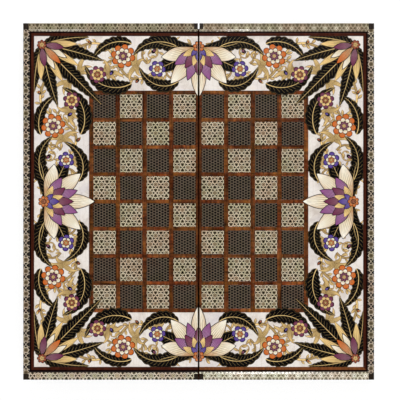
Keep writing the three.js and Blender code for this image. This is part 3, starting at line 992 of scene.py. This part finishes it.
def repeated(piece_mesh, columns, rows, pitch, centre, material, every=0):
    """Copies of one mesh over columns and rows, as one mesh."""
    piece = add_object("pattern_piece", piece_mesh)
    carrier = add_object("pattern_carrier", bpy.data.meshes.new("pattern_carrier"))
    values = {
        "Piece": piece,
        "Columns": columns,
        "Rows": rows,
        "Column pitch": pitch[0],
        "Row pitch": pitch[1],
        "Centre": centre,
        "Every second": every,
        "Surface": material,
    }
    mesh = grown(board_repeat("Board repeat"), carrier, values)
    bpy.data.objects.remove(piece)
    return mesh


def merged(name, meshes, degrees=FLAT_ANGLE):
    """One mesh from several, with their materials kept."""
    form = bmesh.new()
    materials = []
    for mesh in meshes:
        first = len(form.faces)
        form.from_mesh(mesh)
        form.faces.ensure_lookup_table()
        for face in form.faces[first:]:
            material = mesh.materials[face.material_index]
            if material not in materials:
                materials.append(material)
            face.material_index = materials.index(material)
    result = plain_mesh(name, form, materials)
    smooth(result, degrees)
    return result


def field_layout():
    """Pitch of the squares, the first file's edge, the middle of the files and the inlay's underside."""
    s = sizes()
    pitch = (s.tile_width + s.file_strip, s.tile_length + s.rank_strip)
    first = s.seam_gap / 2 + s.seam_strip
    middle = first + s.tile_width / 2 + pitch[0] * (s.files - 1) / 2
    return pitch, first, middle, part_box("left_dark_squares")[0].z


# Painted shapes, in millimetres, with points as complex numbers


def bezier(a, b, c, d, count=40):
    """A smooth line from a to d that sets out towards b and comes in from c."""
    steps = [i / count for i in range(count + 1)]
    return [
        a * (1 - t) ** 3 + 3 * b * t * (1 - t) ** 2 + 3 * c * t * t * (1 - t) + d * t**3 for t in steps
    ]


def scroll(centre, outer, inner, start, turns):
    """A spiral from its outer end to its eye. Negative turns run clockwise."""
    count, closing = 48, 0.85
    points = []
    for i in range(count + 1):
        t = i / count
        reach = outer + (inner - outer) * t**closing
        points.append(centre + cmath.rect(reach, start + 2 * math.pi * turns * t))
    return points


def shoot(root, heading, reach, curl=0.0, count=20):
    """A line that grows from a root and bends steadily by its curl."""
    points, point = [root], root
    for i in range(count):
        t = (i + 0.5) / count
        point += cmath.rect(reach / count, heading + curl * t)
        points.append(point)
    return points


class Strip:
    """A painted shape along a spine, with a half width at each of its points."""

    closed = False

    def __init__(self, spine, halves, columns=(-1.0, -0.84, -0.45, 0.0, 0.45, 0.84, 1.0)):
        self.spine = spine
        self.halves = halves
        self.columns = columns

    def rows(self):
        last = len(self.spine) - 1
        along = 0.0
        for i, point in enumerate(self.spine):
            behind = self.spine[max(i - 1, 0)]
            run = self.spine[min(i + 1, last)] - behind
            square = 1j * run / abs(run)
            along += abs(point - behind)
            half = self.halves[i]
            row = []
            for side in self.columns:
                marks = (along, half * side, half * (1 - abs(side)))
                row.append((point + square * half * side, marks, (i / last, side), side))
            yield row


class Disc:
    """A painted round flower with lobes, from its rim to its middle."""

    closed = True
    columns = (1.0, 0.86, 0.55, 0.2)

    def __init__(self, centre, reach, lobes, depth, turn=0.0):
        self.centre = centre
        self.reach = reach
        self.lobes = lobes
        self.depth = depth
        self.turn = turn

    def rows(self):
        steps = 8
        for i in range(steps * self.lobes):
            lobe = i / steps
            beside = abs(lobe - round(lobe))
            swell = abs(math.cos(math.pi * lobe)) ** 0.6
            radius = self.reach * (1 - self.depth + self.depth * swell)
            ray = cmath.rect(radius, 2 * math.pi * lobe / self.lobes + self.turn)
            width = 2 * math.pi * beside / self.lobes
            yield [
                (
                    self.centre + ray * share,
                    (radius * share, radius * share * width, radius * (1 - share)),
                    (share, 2 * beside),
                    share,
                )
                for share in self.columns
            ]


def stem(spine, start, end):
    """A stem whose half width runs from start to end."""
    last = len(spine) - 1
    return Strip(spine, [start + (end - start) * i / last for i in range(last + 1)])


def leaf(spine, width, teeth=0, bulge=LEAF_BULGE, **options):
    """A pointed leaf, with scalloped edges if it has teeth."""
    fullness, least = 0.85, 0.22
    last = len(spine) - 1
    halves = []
    for i in range(last + 1):
        t = i / last
        half = 0.5 * width * max(0.0, math.sin(math.pi * t**bulge)) ** fullness
        if teeth:
            half *= 0.86 + 0.2 * abs(math.sin(math.pi * teeth * t))
        halves.append(max(half, least))
    return Strip(spine, halves, **options)


def petal(root, heading, reach, width, curl=0.0):
    """A plain petal that is widest past its middle."""
    return leaf(shoot(root, heading, reach, curl), width, bulge=PETAL_BULGE)


def stacked(layer, step, hand=1):
    """A height that keeps shapes of one layer a little apart where they overlap."""
    return layer + STEP_APART * step + (HAND_APART if hand < 0 else 0.0)


class Drawing:
    """Shapes of the ornament on one side of the board: along the side, and out from the middle."""

    def __init__(self):
        self.shapes = []

    def add(self, shape, paint_name, layer, twin=True):
        self.shapes.append((shape, paint_name, layer, twin))

    def placed(self):
        """Every shape on all four sides, with the turn that puts it there."""
        for shape, paint_name, layer, twin in self.shapes:
            for hand in (1, -1) if twin else (1,):
                for spin in (1, 1j, -1, -1j):
                    apart = (HAND_APART if hand < 0 else 0.0) + (TURN_APART if spin.imag else 0.0)
                    yield shape, paint_name, layer + apart, hand, spin


class Relief:
    """Painted shapes as closed low forms, whose points know where they lie in their shape."""

    def __init__(self):
        self.form = bmesh.new()
        layers = self.form.verts.layers.float_vector
        self.brush = layers.new("Brush")
        self.growth = layers.new("Growth")
        self.count = 0

    def point(self, spot, height, brush=(0.0, 0.0, 0.0), growth=(0.0, 0.0)):
        vert = self.form.verts.new((spot.real * MM, spot.imag * MM, height))
        vert[self.brush] = [value * MM for value in brush]
        seed = (self.count * 0.37) % 1.0
        vert[self.growth] = (*growth, seed)
        return vert

    def add(self, rows, closed, top, index):
        """Adds one shape with a crowned top, upright walls and a flat foot."""
        s = sizes()
        self.count += 1
        base = FIELD_TOP - s.paint_foot
        grid, feet = [], []
        for row in rows:
            grid.append([self.point(p, top - s.paint_edge * edge**4, b, g) for p, b, g, edge in row])
            ends = row[:1] if closed else (row[0], row[-1])
            feet.append([self.point(p, base, b, g) for p, b, g, _ in ends])
        rims = [(line[0], foot[0]) for line, foot in zip(grid, feet)]
        lines = list(zip(grid, grid[1:]))
        faces = []
        if closed:
            lines.append((grid[-1], grid[0]))
            middle = sum((p for p, *_ in (row[0] for row in rows)), 0j) / len(rows)
            hub = self.point(middle, top)
            faces += [(a[-1], b[-1], hub) for a, b in lines]
            faces += [(a, c, d, b) for (a, b), (c, d) in zip(rims, rims[1:] + rims[:1])]
            faces.append([foot[0] for foot in feet])
        else:
            others = [(line[-1], foot[1]) for line, foot in zip(grid, feet)]
            for side in (rims, others):
                faces += [(a, c, d, b) for (a, b), (c, d) in zip(side, side[1:])]
            faces += [(a[0], a[1], b[1], b[0]) for a, b in zip(feet, feet[1:])]
            faces += [grid[i] + feet[i][::-1] for i in (0, -1)]
        for a, b in lines:
            faces += [(a[j], b[j], b[j + 1], a[j + 1]) for j in range(len(a) - 1)]
        for corners in faces:
            self.form.faces.new(corners).material_index = index

    def mesh(self, name, materials):
        bmesh.ops.recalc_face_normals(self.form, faces=self.form.faces[:])
        result = plain_mesh(name, self.form, materials)
        smooth(result)
        return result


def placed_rows(shape, hand, spin):
    """Rows of a shape, mirrored by the hand and then turned."""
    return [
        [(complex(hand * p.real, p.imag) * spin, *marks) for p, *marks in row] for row in shape.rows()
    ]


def trim_plane(form, point, outward):
    """Cuts off what lies beyond a plane, and closes the cut."""
    parts = form.verts[:] + form.edges[:] + form.faces[:]
    cut = bmesh.ops.bisect_plane(form, geom=parts, plane_co=point, plane_no=outward, clear_outer=True)
    edges = [item for item in cut["geom_cut"] if isinstance(item, bmesh.types.BMEdge)]
    if edges:
        bmesh.ops.holes_fill(form, edges=edges, sides=0)


def half_relief(name, drawing, side):
    """Low relief of the painted shapes on one half, cut off where the field ends."""
    s = sizes()
    hand = HANDS[side]
    seam = s.seam_gap / 2 + s.paint_clear
    stock = ornament_paints()
    relief = Relief()
    for shape, paint_name, layer, mirror, spin in drawing.placed():
        rows = placed_rows(shape, mirror, spin)
        if any(hand * p.real * MM > seam for row in rows for p, *_ in row):
            top = FIELD_TOP + s.paint_rise + s.paint_layer * layer
            relief.add(rows, shape.closed, top, list(stock).index(paint_name))
    low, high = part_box(f"{side}_painted_field")
    outer = high.x if hand > 0 else low.x
    for point, outward in (
        ((hand * seam, 0.0, 0.0), (-hand, 0.0, 0.0)),
        ((outer, 0.0, 0.0), (hand, 0.0, 0.0)),
        ((0.0, high.y, 0.0), (0.0, 1.0, 0.0)),
        ((0.0, low.y, 0.0), (0.0, -1.0, 0.0)),
    ):
        trim_plane(relief.form, point, outward)
    return relief.mesh(name, stock.values())


def ornament_paints():
    """The paints of the ornament, by their short names."""
    c = colours()
    dark = tuple(c.black_paint)
    gold = tuple(c.gold_paint)
    brown = tone("5a3413")

    def petals(name, base, hair):
        return brushed(name, shade(base, 0.4), base, shade(base, 1.4), dark, 0.85, 4, hair)

    return {
        "black": veined("Black leaf paint", c.black_paint, c.gold_paint),
        "gold": brushed("Gold paint", shade(gold, 0.7), gold, shade(gold, 1.25), brown, 0.45, 2, brown),
        "cream": brushed(
            "Cream paint", tone("cf9a68"), c.cream_paint, tone("fbf4e4"), dark, 1.0, 4, tone("8a5a30")
        ),
        "plum": petals("Plum paint", c.plum_paint, tone("c79aa6")),
        "violet": petals("Violet paint", c.violet_paint, tone("b9a8d6")),
        "mauve": petals("Mauve paint", c.mauve_paint, tone("e2c4d6")),
        "orange": petals("Orange paint", c.orange_paint, tone("f6d9a6")),
        "brick": petals("Brick paint", c.brick_paint, tone("e0b08a")),
        "dark": brushed("Black paint", shade(dark, 0.6), dark, shade(dark, 2.0), dark),
    }


# The ornament


def lotus(drawing, root, heading, scale):
    """A layered lotus palmette that opens along its heading."""
    rows = (
        ("black", ((82, 46, 15, 0.5), (55, 56, 17, 0.25)), 6),
        ("cream", ((66, 43, 16, 0.3), (34, 51, 17, 0.12), (0, 56, 17, 0.0)), 8),
        ("mauve", ((48, 33, 12, 0.2), (17, 39, 12, 0.05)), 10),
        ("plum", ((30, 28, 10, 0.1), (0, 33, 10, 0.0)), 12),
        ("gold", ((52, 20, 7, 0.3), (16, 22, 7, 0.0)), 14),
        ("violet", ((0, 17, 8, 0.0), (34, 13, 6, 0.2)), 16),
    )
    for paint_name, petals, layer in rows:
        for step, (degrees, reach, width, curl) in enumerate(petals):
            for hand in (1, -1) if degrees else (1,):
                angle = heading + hand * math.radians(degrees)
                outline = petal(root, angle, reach * scale, width * scale, hand * curl)
                drawing.add(outline, paint_name, stacked(layer, step, hand), False)
    drawing.add(Disc(root, 6.5 * scale, 7, 0.3, heading), "orange", 18, False)
    drawing.add(Disc(root, 3.0 * scale, 5, 0.3, heading), "brick", 19, False)


def blossom(drawing, centre, reach, ring_paints, lobes, turn):
    """A round blossom of three rings of petals, from the outer one inward."""
    half_step = math.pi / lobes
    for step, (share, paint_name) in enumerate(zip((1.0, 0.68, 0.4), ring_paints)):
        ring = Disc(centre, reach * share, lobes, 0.3, turn + half_step * step)
        drawing.add(ring, paint_name, 9 + 2 * step)
    drawing.add(Disc(centre, reach * 0.16, 6, 0.2), "gold", 15)


def tongues(drawing, root, heading, scale, layer):
    """Curled gold tongues that fan out like a cloud."""
    blades = (
        (0.0, 36, 8.5, 1.5),
        (0.42, 28, 7.5, 2.0),
        (-0.45, 31, 8.0, -1.6),
        (-0.95, 20, 6.5, -2.3),
        (0.95, 18, 6.0, 2.5),
    )
    for step, (turn, reach, width, curl) in enumerate(blades):
        spine = shoot(root, heading + turn, reach * scale, curl, 26)
        drawing.add(leaf(spine, width * scale, bulge=TONGUE_BULGE), "gold", stacked(layer, step))


def bud(drawing, root, heading, scale, paint_name):
    """A half-open bud with two dark sepals."""
    drawing.add(petal(root, heading, 9 * scale, 5.5 * scale), paint_name, 5.6)
    for hand in (1, -1):
        drawing.add(petal(root, heading + hand * 0.6, 6 * scale, 2.6 * scale, -hand * 0.5), "dark", 6.0)


def stems():
    """Spines of the scrolling stems on half of one side."""
    return [
        bezier(10 + 220j, 44 + 228j, 50 + 176j, 84 + 172j),
        bezier(84 + 172j, 118 + 168j, 112 + 226j, 150 + 222j),
        bezier(150 + 222j, 172 + 219j, 176 + 206j, 196 + 212j, 24),
        scroll(66 + 208j, 15.5, 3.5, -1.2, 1.35),
        scroll(120 + 184j, 15.0, 3.5, 1.9, -1.35),
        scroll(34 + 182j, 13.0, 3.0, 0.9, -1.25),
    ]


def vine_drawing():
    """Scrolling stems with buds."""
    drawing = Drawing()
    runs = 3
    for i, spine in enumerate(stems()):
        start, end = (2.0, 1.7) if i < runs else (1.7, 0.6)
        drawing.add(stem(spine, start, end), "gold", stacked(0, i % runs))
    for root, heading, scale, paint_name in (
        (66 + 208j, 2.4, 0.9, "plum"),
        (120 + 184j, -1.0, 0.9, "violet"),
        (34 + 182j, -2.0, 0.8, "orange"),
        (84 + 172j, -0.9, 0.8, "brick"),
        (150 + 222j, 0.5, 0.7, "orange"),
    ):
        bud(drawing, root, heading, scale, paint_name)
    return drawing


def leaf_drawing():
    """Large dark leaves between the stems."""
    drawing = Drawing()
    for step, (points, width, teeth) in enumerate(
        (
            ((20 + 208j, 34 + 228j, 74 + 232j, 92 + 204j), 22, 9),
            ((94 + 166j, 112 + 154j, 148 + 158j, 160 + 192j), 22, 9),
            ((94 + 221j, 108 + 229j, 140 + 224j, 150 + 196j), 16, 8),
            ((28 + 169j, 44 + 156j, 72 + 160j, 84 + 190j), 18, 8),
        )
    ):
        drawing.add(leaf(bezier(*points, 63), width, teeth), "black", stacked(6, step))
    return drawing


def corner_drawing():
    """Fans of long leaves in the corners."""
    drawing = Drawing()
    root = 220 + 220j
    inward = -0.75 * math.pi
    fans = (
        ("black", 7.6, 12, ((64, 68, 18, 0.35), (36, 90, 21, 0.2), (0, 118, 23, 0.0))),
        ("gold", 9.0, 0, ((49, 50, 10, 0.1), (18, 60, 10, 0.1))),
        ("cream", 10.0, 0, ((20, 40, 10, 0.1),)),
        ("plum", 11.0, 0, ((40, 32, 10.5, 0.1),)),
        ("orange", 12.0, 0, ((0, 38, 11, 0.0),)),
    )
    for paint_name, layer, teeth, blades in fans:
        for step, (degrees, reach, width, curl) in enumerate(blades):
            for hand in (1, -1) if degrees else (1,):
                angle = inward + hand * math.radians(degrees)
                spine = shoot(root, angle, reach, -hand * curl, 70 if teeth else 24)
                blade = leaf(spine, width, teeth, LEAF_BULGE if teeth else PETAL_BULGE)
                drawing.add(blade, paint_name, stacked(layer, step, hand), False)
    drawing.add(Disc(root, 7, 7, 0.3), "brick", 13, False)
    drawing.add(Disc(root, 3.4, 5, 0.3), "gold", 14, False)
    return drawing


def blossom_drawing():
    """A lotus in the middle of each side and round blossoms on both sides of it."""
    drawing = Drawing()
    lotus(drawing, 0 + 217j, -0.5 * math.pi, 1.28)
    blossom(drawing, 106 + 204j, 17.5, ("orange", "cream", "plum"), lobes=8, turn=0.2)
    blossom(drawing, 142 + 178j, 12.5, ("plum", "gold", "brick"), lobes=7, turn=0.4)
    blossom(drawing, 58 + 186j, 12.0, ("violet", "cream", "orange"), lobes=6, turn=0.1)
    return drawing


def cloud_drawing():
    """Gold clouds under the leaves and blossoms."""
    drawing = Drawing()
    for step, (root, heading, scale) in enumerate(
        (
            (30 + 214j, 0.4, 0.75),
            (84 + 190j, 0.2, 0.9),
            (130 + 178j, 2.6, 0.8),
            (166 + 178j, 1.2, 0.85),
            (62 + 178j, 3.3, 0.7),
            (186 + 208j, 2.6, 0.6),
        )
    ):
        tongues(drawing, root, heading, scale, 1.6 + 2.0 * (step % 2))
    return drawing


def sprigs(side):
    """Small leaves along the stems of one half, grown by geometry nodes."""
    s = sizes()
    hand = HANDS[side]
    curve = bpy.data.curves.new("stem_lines", "CURVE")
    curve.dimensions = "3D"
    drawing = Drawing()
    for spine in stems():
        drawing.add(Strip(spine, [0.0] * len(spine)), "gold", 0)
    clear = s.seam_gap / 2 + 6.0 * MM
    for shape, _, _, mirror, spin in drawing.placed():
        points = [complex(mirror * p.real, p.imag) * spin for p in shape.spine]
        if all(hand * p.real * MM > clear for p in points):
            line = curve.splines.new("POLY")
            line.points.add(len(points) - 1)
            for target, p in zip(line.points, points):
                target.co = (p.real * MM, p.imag * MM, 0.0, 1.0)
    relief = Relief()
    spine = shoot(root=0.6 + 0j, heading=0.0, reach=8.6, curl=0.3, count=6)
    blade = leaf(spine, width=3.8, bulge=PETAL_BULGE, columns=(-1.0, 0.0, 1.0))
    layer = 1.5
    relief.add(list(blade.rows()), False, FIELD_TOP + s.paint_rise + s.paint_layer * layer, 0)
    leaf_object = add_object("sprig_leaf", relief.mesh("sprig_leaf", []))
    carrier = add_object("stem_lines", curve)
    values = {
        "Leaf": leaf_object,
        "Gap": s.sprig_gap,
        "Lean": 0.85,
        "Least": 0.75,
        "Greatest": 1.2,
        "Seed": 4,
        "Surface": ornament_paints()["gold"],
    }
    result = grown(stem_leaves("Stem leaves"), carrier, values)
    bpy.data.objects.remove(leaf_object)
    return result


# The stage


def cove_mesh():
    """A flat floor that curves up into a round backdrop."""
    flat, bend, turns, steps = 5.5, 3.0, 64, 10
    profile = [(0.001, 0.0), (0.6, 0.0), (flat, 0.0)]
    for i in range(1, steps + 1):
        angle = 0.5 * math.pi * i / steps
        profile.append((flat + bend * math.sin(angle), bend * (1 - math.cos(angle))))
    form = bmesh.new()
    rings = []
    for reach, height in profile:
        ring = []
        for i in range(turns):
            angle = 2 * math.pi * i / turns
            ring.append(form.verts.new((reach * math.cos(angle), reach * math.sin(angle), height)))
        rings.append(ring)
    form.faces.new(rings[0])
    for low, high in zip(rings, rings[1:]):
        for i in range(turns):
            j = (i + 1) % turns
            form.faces.new((low[i], high[i], high[j], low[j]))
    mesh = plain_mesh("floor", form)
    mesh.shade_smooth()
    return mesh


def looked_at(wires):
    """Tells rays that the eye follows, also by way of gloss and glass, from rays that carry light."""
    path = wires.node("ShaderNodeLightPath").outputs
    return wires.largest(path["Is Camera Ray"], path["Is Glossy Ray"], path["Is Transmission Ray"])


def studio_light():
    """Soft light that is dimmer straight above, so gloss stays dark from the camera, and white below."""
    world = bpy.data.worlds.new("Studio")
    world.use_nodes = True
    wires = Wiring(world.node_tree)
    sky = world.node_tree.nodes["Background"].inputs
    height = wires.split(wires.node("ShaderNodeTexCoord").outputs["Generated"])[2]
    side_level, top_level = 0.34, 0.03
    warm, white = (1.0, 0.99, 0.97, 1.0), (1.0, 1.0, 1.0, 1.0)
    soft = wires.scale_range(height, 0.35, 0.95, side_level, top_level)
    below = wires.math("MULTIPLY", looked_at(wires), wires.math("LESS_THAN", height, 0.33))
    wires.feed(sky["Color"], wires.mix(below, warm, white))
    wires.feed(sky["Strength"], wires.math("MAXIMUM", soft, below))
    return world


def floor_surface():
    """Frosted glass over white, with a faint shadow. A half that is folded under it still shows. Under
    the seam it is a painted shadow, dark brown to black.
    """
    material = bpy.data.materials.new("Frosted floor")
    material.use_nodes = True
    nodes = material.node_tree.nodes
    nodes.remove(nodes["Principled BSDF"])
    wires = Wiring(material.node_tree)
    white, paper, black = ((level, level, level, 1.0) for level in (1.0, 0.8, 0.0))
    # Brown of the painted shadow on the floor under the seam
    seam_shadow_brown = (0.17, 0.05, 0.02, 1.0)
    margin, overhang = 4.0 * MM, 1.5 * MM
    seam_half, seam_overhang = 1.5 * MM, 4.5 * MM
    position = wires.place()
    x, y, _ = wires.split(position)
    low, high = CAD_BOX

    def within(reach, near):
        sides = wires.math("DIVIDE", wires.math("ABSOLUTE", x), reach)
        far_end = wires.math("DIVIDE", y, high.y - margin)
        near_end = wires.math("DIVIDE", y, near)
        return wires.math("LESS_THAN", wires.largest(far_end, near_end, sides), 1.0)

    under_board = within(high.x - margin, low.y - overhang)
    # Strip under the seam where the floor is not see-through but painted as a dark shadow
    under_seam = within(seam_half, low.y - seam_overhang)
    seen = looked_at(wires)
    underside = wires.node("ShaderNodeNewGeometry").outputs["Backfacing"]
    away = wires.node("ShaderNodeVectorMath", {0: position}, operation="LENGTH").outputs["Value"]
    far = wires.scale_range(away, 0.5, 1.8, 0.0, 1.0)
    glass = wires.mix(under_seam, wires.math("MULTIPLY_ADD", far, 0.1, 0.9), black)
    # Painted shadow under the seam: brown in the middle, nearly black towards the ends
    midway = wires.scale_range(wires.math("ABSOLUTE", y), 0.15, 0.22, 1.0, 0.2)
    shadow = wires.mix(midway, black, seam_shadow_brown)
    frost = wires.mix(under_seam, wires.math("MULTIPLY_ADD", far, -0.14, 0.14), shadow)
    through = wires.mix(underside, wires.mix(seen, under_board, glass), white)
    sheet = wires.mix(seen, wires.mix(under_board, paper, black), frost)
    sheet = wires.mix(underside, sheet, black)
    clear = wires.node("ShaderNodeBsdfTransparent", {"Color": through})
    matt = wires.node("ShaderNodeBsdfDiffuse", {"Color": sheet})
    both = wires.node("ShaderNodeAddShader", {0: clear.outputs[0], 1: matt.outputs[0]})
    wires.feed(nodes["Material Output"].inputs["Surface"], both.outputs[0])
    return material


def add_lamp(place, size, watts, tall, glints):
    """Adds a round soft lamp that faces the board, and is mirrored in the lacquer only if it glints."""
    light = bpy.data.lights.new("lamp", "AREA")
    light.shape = "ELLIPSE"
    light.size = size
    light.size_y = size * tall
    light.energy = watts
    lamp = add_object("lamp", light)
    lamp.location = place
    lamp.rotation_mode = "QUATERNION"
    lamp.rotation_quaternion = (-Vector(place)).to_track_quat("-Z", "Y")
    lamp.visible_camera = False
    lamp.visible_glossy = glints


def add_camera():
    """Looks straight down through a long lens at the framing of the photo."""
    lens, sensor, view_width = 150.0, 36.0, 0.5608
    aim_x, aim_y = 0.0019, 0.0021
    lens_data = bpy.data.cameras.new("camera")
    lens_data.lens = lens
    lens_data.sensor_width = sensor
    camera = add_object("camera", lens_data)
    camera.location = (aim_x, aim_y, BOARD_TOP + view_width * lens / sensor)
    bpy.context.scene.camera = camera


# Operators


class BOARD_OT_stage(bpy.types.Operator):
    """Sets the floor, the lamps and the camera above the board"""

    bl_idname = "board.stage"
    bl_label = "Stage"

    def execute(self, context):
        context.scene.view_settings.view_transform = "Standard"
        floor = add_object("floor", cove_mesh())
        floor.data.materials.append(floor_surface())
        context.scene.world = studio_light()
        for lamp in LAMPS:
            add_lamp(*lamp)
        add_camera()
        return {"FINISHED"}


class BOARD_OT_walls(bpy.types.Operator):
    """Finishes the walls, the panels, the trays and the bands round the outside"""

    bl_idname = "board.walls"
    bl_label = "Walls"

    def execute(self, context):
        c = colours()
        long_wood = wood("Wall wood along the seam", c.wall_wood, "y", drawn=0.15)
        cross_wood = wood("Wall wood across the board", c.wall_wood, "x", drawn=0.15)
        options = {"fineness": 0.8, "gloss": 0.45, "contrast": 0.5, "drawn": 0.1}
        liner = wood("Tray veneer", c.liner_wood, "y", **options)
        options = {"fineness": 0.7, "gloss": 0.6, "contrast": 0.6, "drawn": 0.1}
        panel = wood("Panel wood", shade(c.liner_wood, 0.6), "y", **options)
        for side in SIDES:
            for name in ("outer_wall", "seam_wall"):
                ease(f"{side}_{name}", long_wood, WALL_ROUND)
            ease(f"{side}_outer_band", band_inlay(True), BAND_ROUND)
            dress(f"{side}_liner", liner)
            dress(f"{side}_panel", panel)
            for end in ENDS:
                ease(f"{side}_{end}_wall", cross_wood, WALL_ROUND)
                ease(f"{side}_{end}_band", band_inlay(False), BAND_ROUND)
        return {"FINISHED"}


class BOARD_OT_squares(bpy.types.Operator):
    """Lays the light and dark squares of star inlay"""

    bl_idname = "board.squares"
    bl_label = "Squares"

    def execute(self, context):
        s = sizes()
        pitch, _, middle, bottom = field_layout()
        top = FIELD_TOP - s.tile_sink
        for side in SIDES:
            centre = Vector((HANDS[side] * middle, 0.0, (bottom + top) / 2))
            for every, kind, surface in ((2, "dark", dark_inlay()), (1, "light", light_inlay())):
                tile = eased_block("tile", (s.tile_width, s.tile_length, top - bottom), s.edge_round)
                mesh = repeated(tile, s.files, s.ranks, pitch, centre, surface, every)
                node = f"{side}_{kind}_squares"
                add_piece(node + "_inlay", mesh, side + "_half", [node])
        return {"FINISHED"}


class BOARD_OT_lattice(bpy.types.Operator):
    """Lays the red-brown strips between the squares"""

    bl_idname = "board.lattice"
    bl_label = "Strips"

    def execute(self, context):
        s = sizes()
        base, pale, dark = (shade(colours().strip_wood, share) for share in (1.0, 1.15, 0.72))
        long_wood = wood("Strip wood along the seam", base, "y", gloss=0.2, contrast=1.7)
        cross_wood = wood("Strip wood across the board", pale, "x", gloss=0.2, contrast=2.0)
        dark_wood = wood("Strip wood left of the seam", dark, "y", gloss=0.2, contrast=1.7)
        seam_woods = {"left": dark_wood, "right": long_wood}
        pitch, first, middle, bottom = field_layout()
        deep = FIELD_TOP - bottom
        height = (FIELD_TOP + bottom) / 2
        run = s.ranks * pitch[1] + s.rank_strip
        file_middle = first + pitch[0] * (s.files + 1) / 2 - s.file_strip / 2
        seam_middle = first - s.seam_strip / 2
        for side in SIDES:
            strips = []
            for wide, long, columns, rows, reach, material in (
                (s.file_strip, run, s.files, 1, file_middle, long_wood),
                (s.seam_strip, run, 1, 1, seam_middle, seam_woods[side]),
                (s.tile_width, s.rank_strip, s.files, s.ranks + 1, middle, cross_wood),
            ):
                strip = eased_block("strip", (wide, long, deep), s.edge_round)
                centre = Vector((HANDS[side] * reach, 0.0, height))
                strips.append(repeated(strip, columns, rows, pitch, centre, material))
            name = f"{side}_lattice_strips"
            mesh = merged(name, strips)
            add_piece(name, mesh, side + "_half", [f"{side}_lattice"])
        return {"FINISHED"}


class BOARD_OT_borders(bpy.types.Operator):
    """Finishes the star borders, the black corner blocks and the lined fillet"""

    bl_idname = "board.borders"
    bl_label = "Borders"

    def execute(self, context):
        c = colours()
        ebony = wood("Ebony", c.ebony, "y", fineness=1.5, gloss=0.25, contrast=0.6)
        # Paler tone for the near run of the right fillet: a painted sheen, not another wood
        sheen_wood = tone("734223")
        fillet = lined_fillet("Lined fillet", tuple(c.fillet_wood), sheen_wood, tone(BLACK_LINE))
        for side in SIDES:
            ease(f"{side}_outer_border", border_inlay(side, side))
            ease(f"{side}_fillet", fillet)
            for end in ENDS:
                ease(f"{side}_{end}_border", border_inlay(end, side))
                for name in ("corner", "seam_corner"):
                    ease(f"{side}_{end}_{name}", ebony)
        return {"FINISHED"}


class BOARD_OT_field(bpy.types.Operator):
    """Finishes the ivory ground of the painted field"""

    bl_idname = "board.field"
    bl_label = "Ivory field"

    def execute(self, context):
        for side in SIDES:
            dress(f"{side}_painted_field", ivory_ground("Ivory ground"))
        return {"FINISHED"}


class BOARD_OT_ornament(bpy.types.Operator):
    """Paints stems, leaves, blossoms and clouds round the ivory field"""

    bl_idname = "board.ornament"
    bl_label = "Painted ornament"

    def execute(self, context):
        drawings = {
            "clouds": cloud_drawing(),
            "stems": vine_drawing(),
            "leaves": leaf_drawing(),
            "corner_fans": corner_drawing(),
            "blossoms": blossom_drawing(),
        }
        for side in SIDES:
            for label, drawing in drawings.items():
                name = f"{side}_painted_{label}"
                add_piece(name, half_relief(name, drawing, side), side + "_half")
            add_piece(f"{side}_painted_sprigs", sprigs(side), side + "_half")
        return {"FINISHED"}


class BOARD_OT_hinges(bpy.types.Operator):
    """Finishes the hinges, their pins and screws, and the magnets"""

    bl_idname = "board.hinges"
    bl_label = "Hinges and magnets"

    def execute(self, context):
        brass = metal("Brass", tuple(colours().brass), tone("6b4a22"))
        steel = metal("Steel", tone("b9b6b0"), tone("77716a"), gloss=0.25)
        nickel = metal("Nickel", tone("c9c4ba"), tone("8d877c"), gloss=0.2)
        for end in ENDS:
            dress(f"{end}_hinge_pin", steel)
        for side in SIDES:
            screws, nodes = [], []
            for end in ENDS:
                ease(f"{end}_hinge_{side}_leaf", brass, LEAF_ROUND, LEAF_ANGLE)
                pair = [f"{end}_hinge_{side}_screw_{number}" for number in (1, 2)]
                first, second = (sum(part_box(node), Vector()) / 2 for node in pair)
                pitch = (0.0, abs(second.y - first.y))
                middle = (first + second) / 2
                screws.append(repeated(slotted_screw(pair[0]), 1, 2, pitch, middle, brass))
                nodes += pair
            name = f"{side}_hinge_screws"
            mesh = merged(name, screws, ROUND_ANGLE)
            add_piece(name, mesh, side + "_half", nodes)
            dress(f"{side}_magnet", nickel)
        return {"FINISHED"}


class BOARD_PT_board(bpy.types.Panel):
    """Lists the pieces of the board with their sizes and colours"""

    bl_idname = "BOARD_PT_board"
    bl_label = "Chess board"
    bl_space_type = "VIEW_3D"
    bl_region_type = "UI"
    bl_category = "Chess board"

    def draw(self, context):
        layout = self.layout
        for operator in OPERATORS:
            layout.operator(operator.bl_idname)
        for group in (context.scene.board_sizes, context.scene.board_colours):
            box = layout.box()
            for name in group.bl_rna.properties.keys():
                if name not in ("rna_type", "name"):
                    box.prop(group, name)


OPERATORS = (
    BOARD_OT_stage,
    BOARD_OT_walls,
    BOARD_OT_squares,
    BOARD_OT_lattice,
    BOARD_OT_borders,
    BOARD_OT_field,
    BOARD_OT_ornament,
    BOARD_OT_hinges,
)
CLASSES = (BoardSizes, BoardColours, *OPERATORS, BOARD_PT_board)


def register():
    """Adds the classes and their settings to Blender."""
    for cls in CLASSES:
        bpy.utils.register_class(cls)
    bpy.types.Scene.board_sizes = PointerProperty(type=BoardSizes)
    bpy.types.Scene.board_colours = PointerProperty(type=BoardColours)


def unregister():
    """Takes the settings and the classes out again."""
    del bpy.types.Scene.board_colours
    del bpy.types.Scene.board_sizes
    for cls in reversed(CLASSES):
        bpy.utils.unregister_class(cls)


def main():
    """Dresses the board."""
    register()
    bpy.ops.board.stage()
    bpy.ops.board.walls()
    bpy.ops.board.squares()
    bpy.ops.board.lattice()
    bpy.ops.board.borders()
    bpy.ops.board.field()
    bpy.ops.board.ornament()
    bpy.ops.board.hinges()


if __name__ == "__main__":
    main()
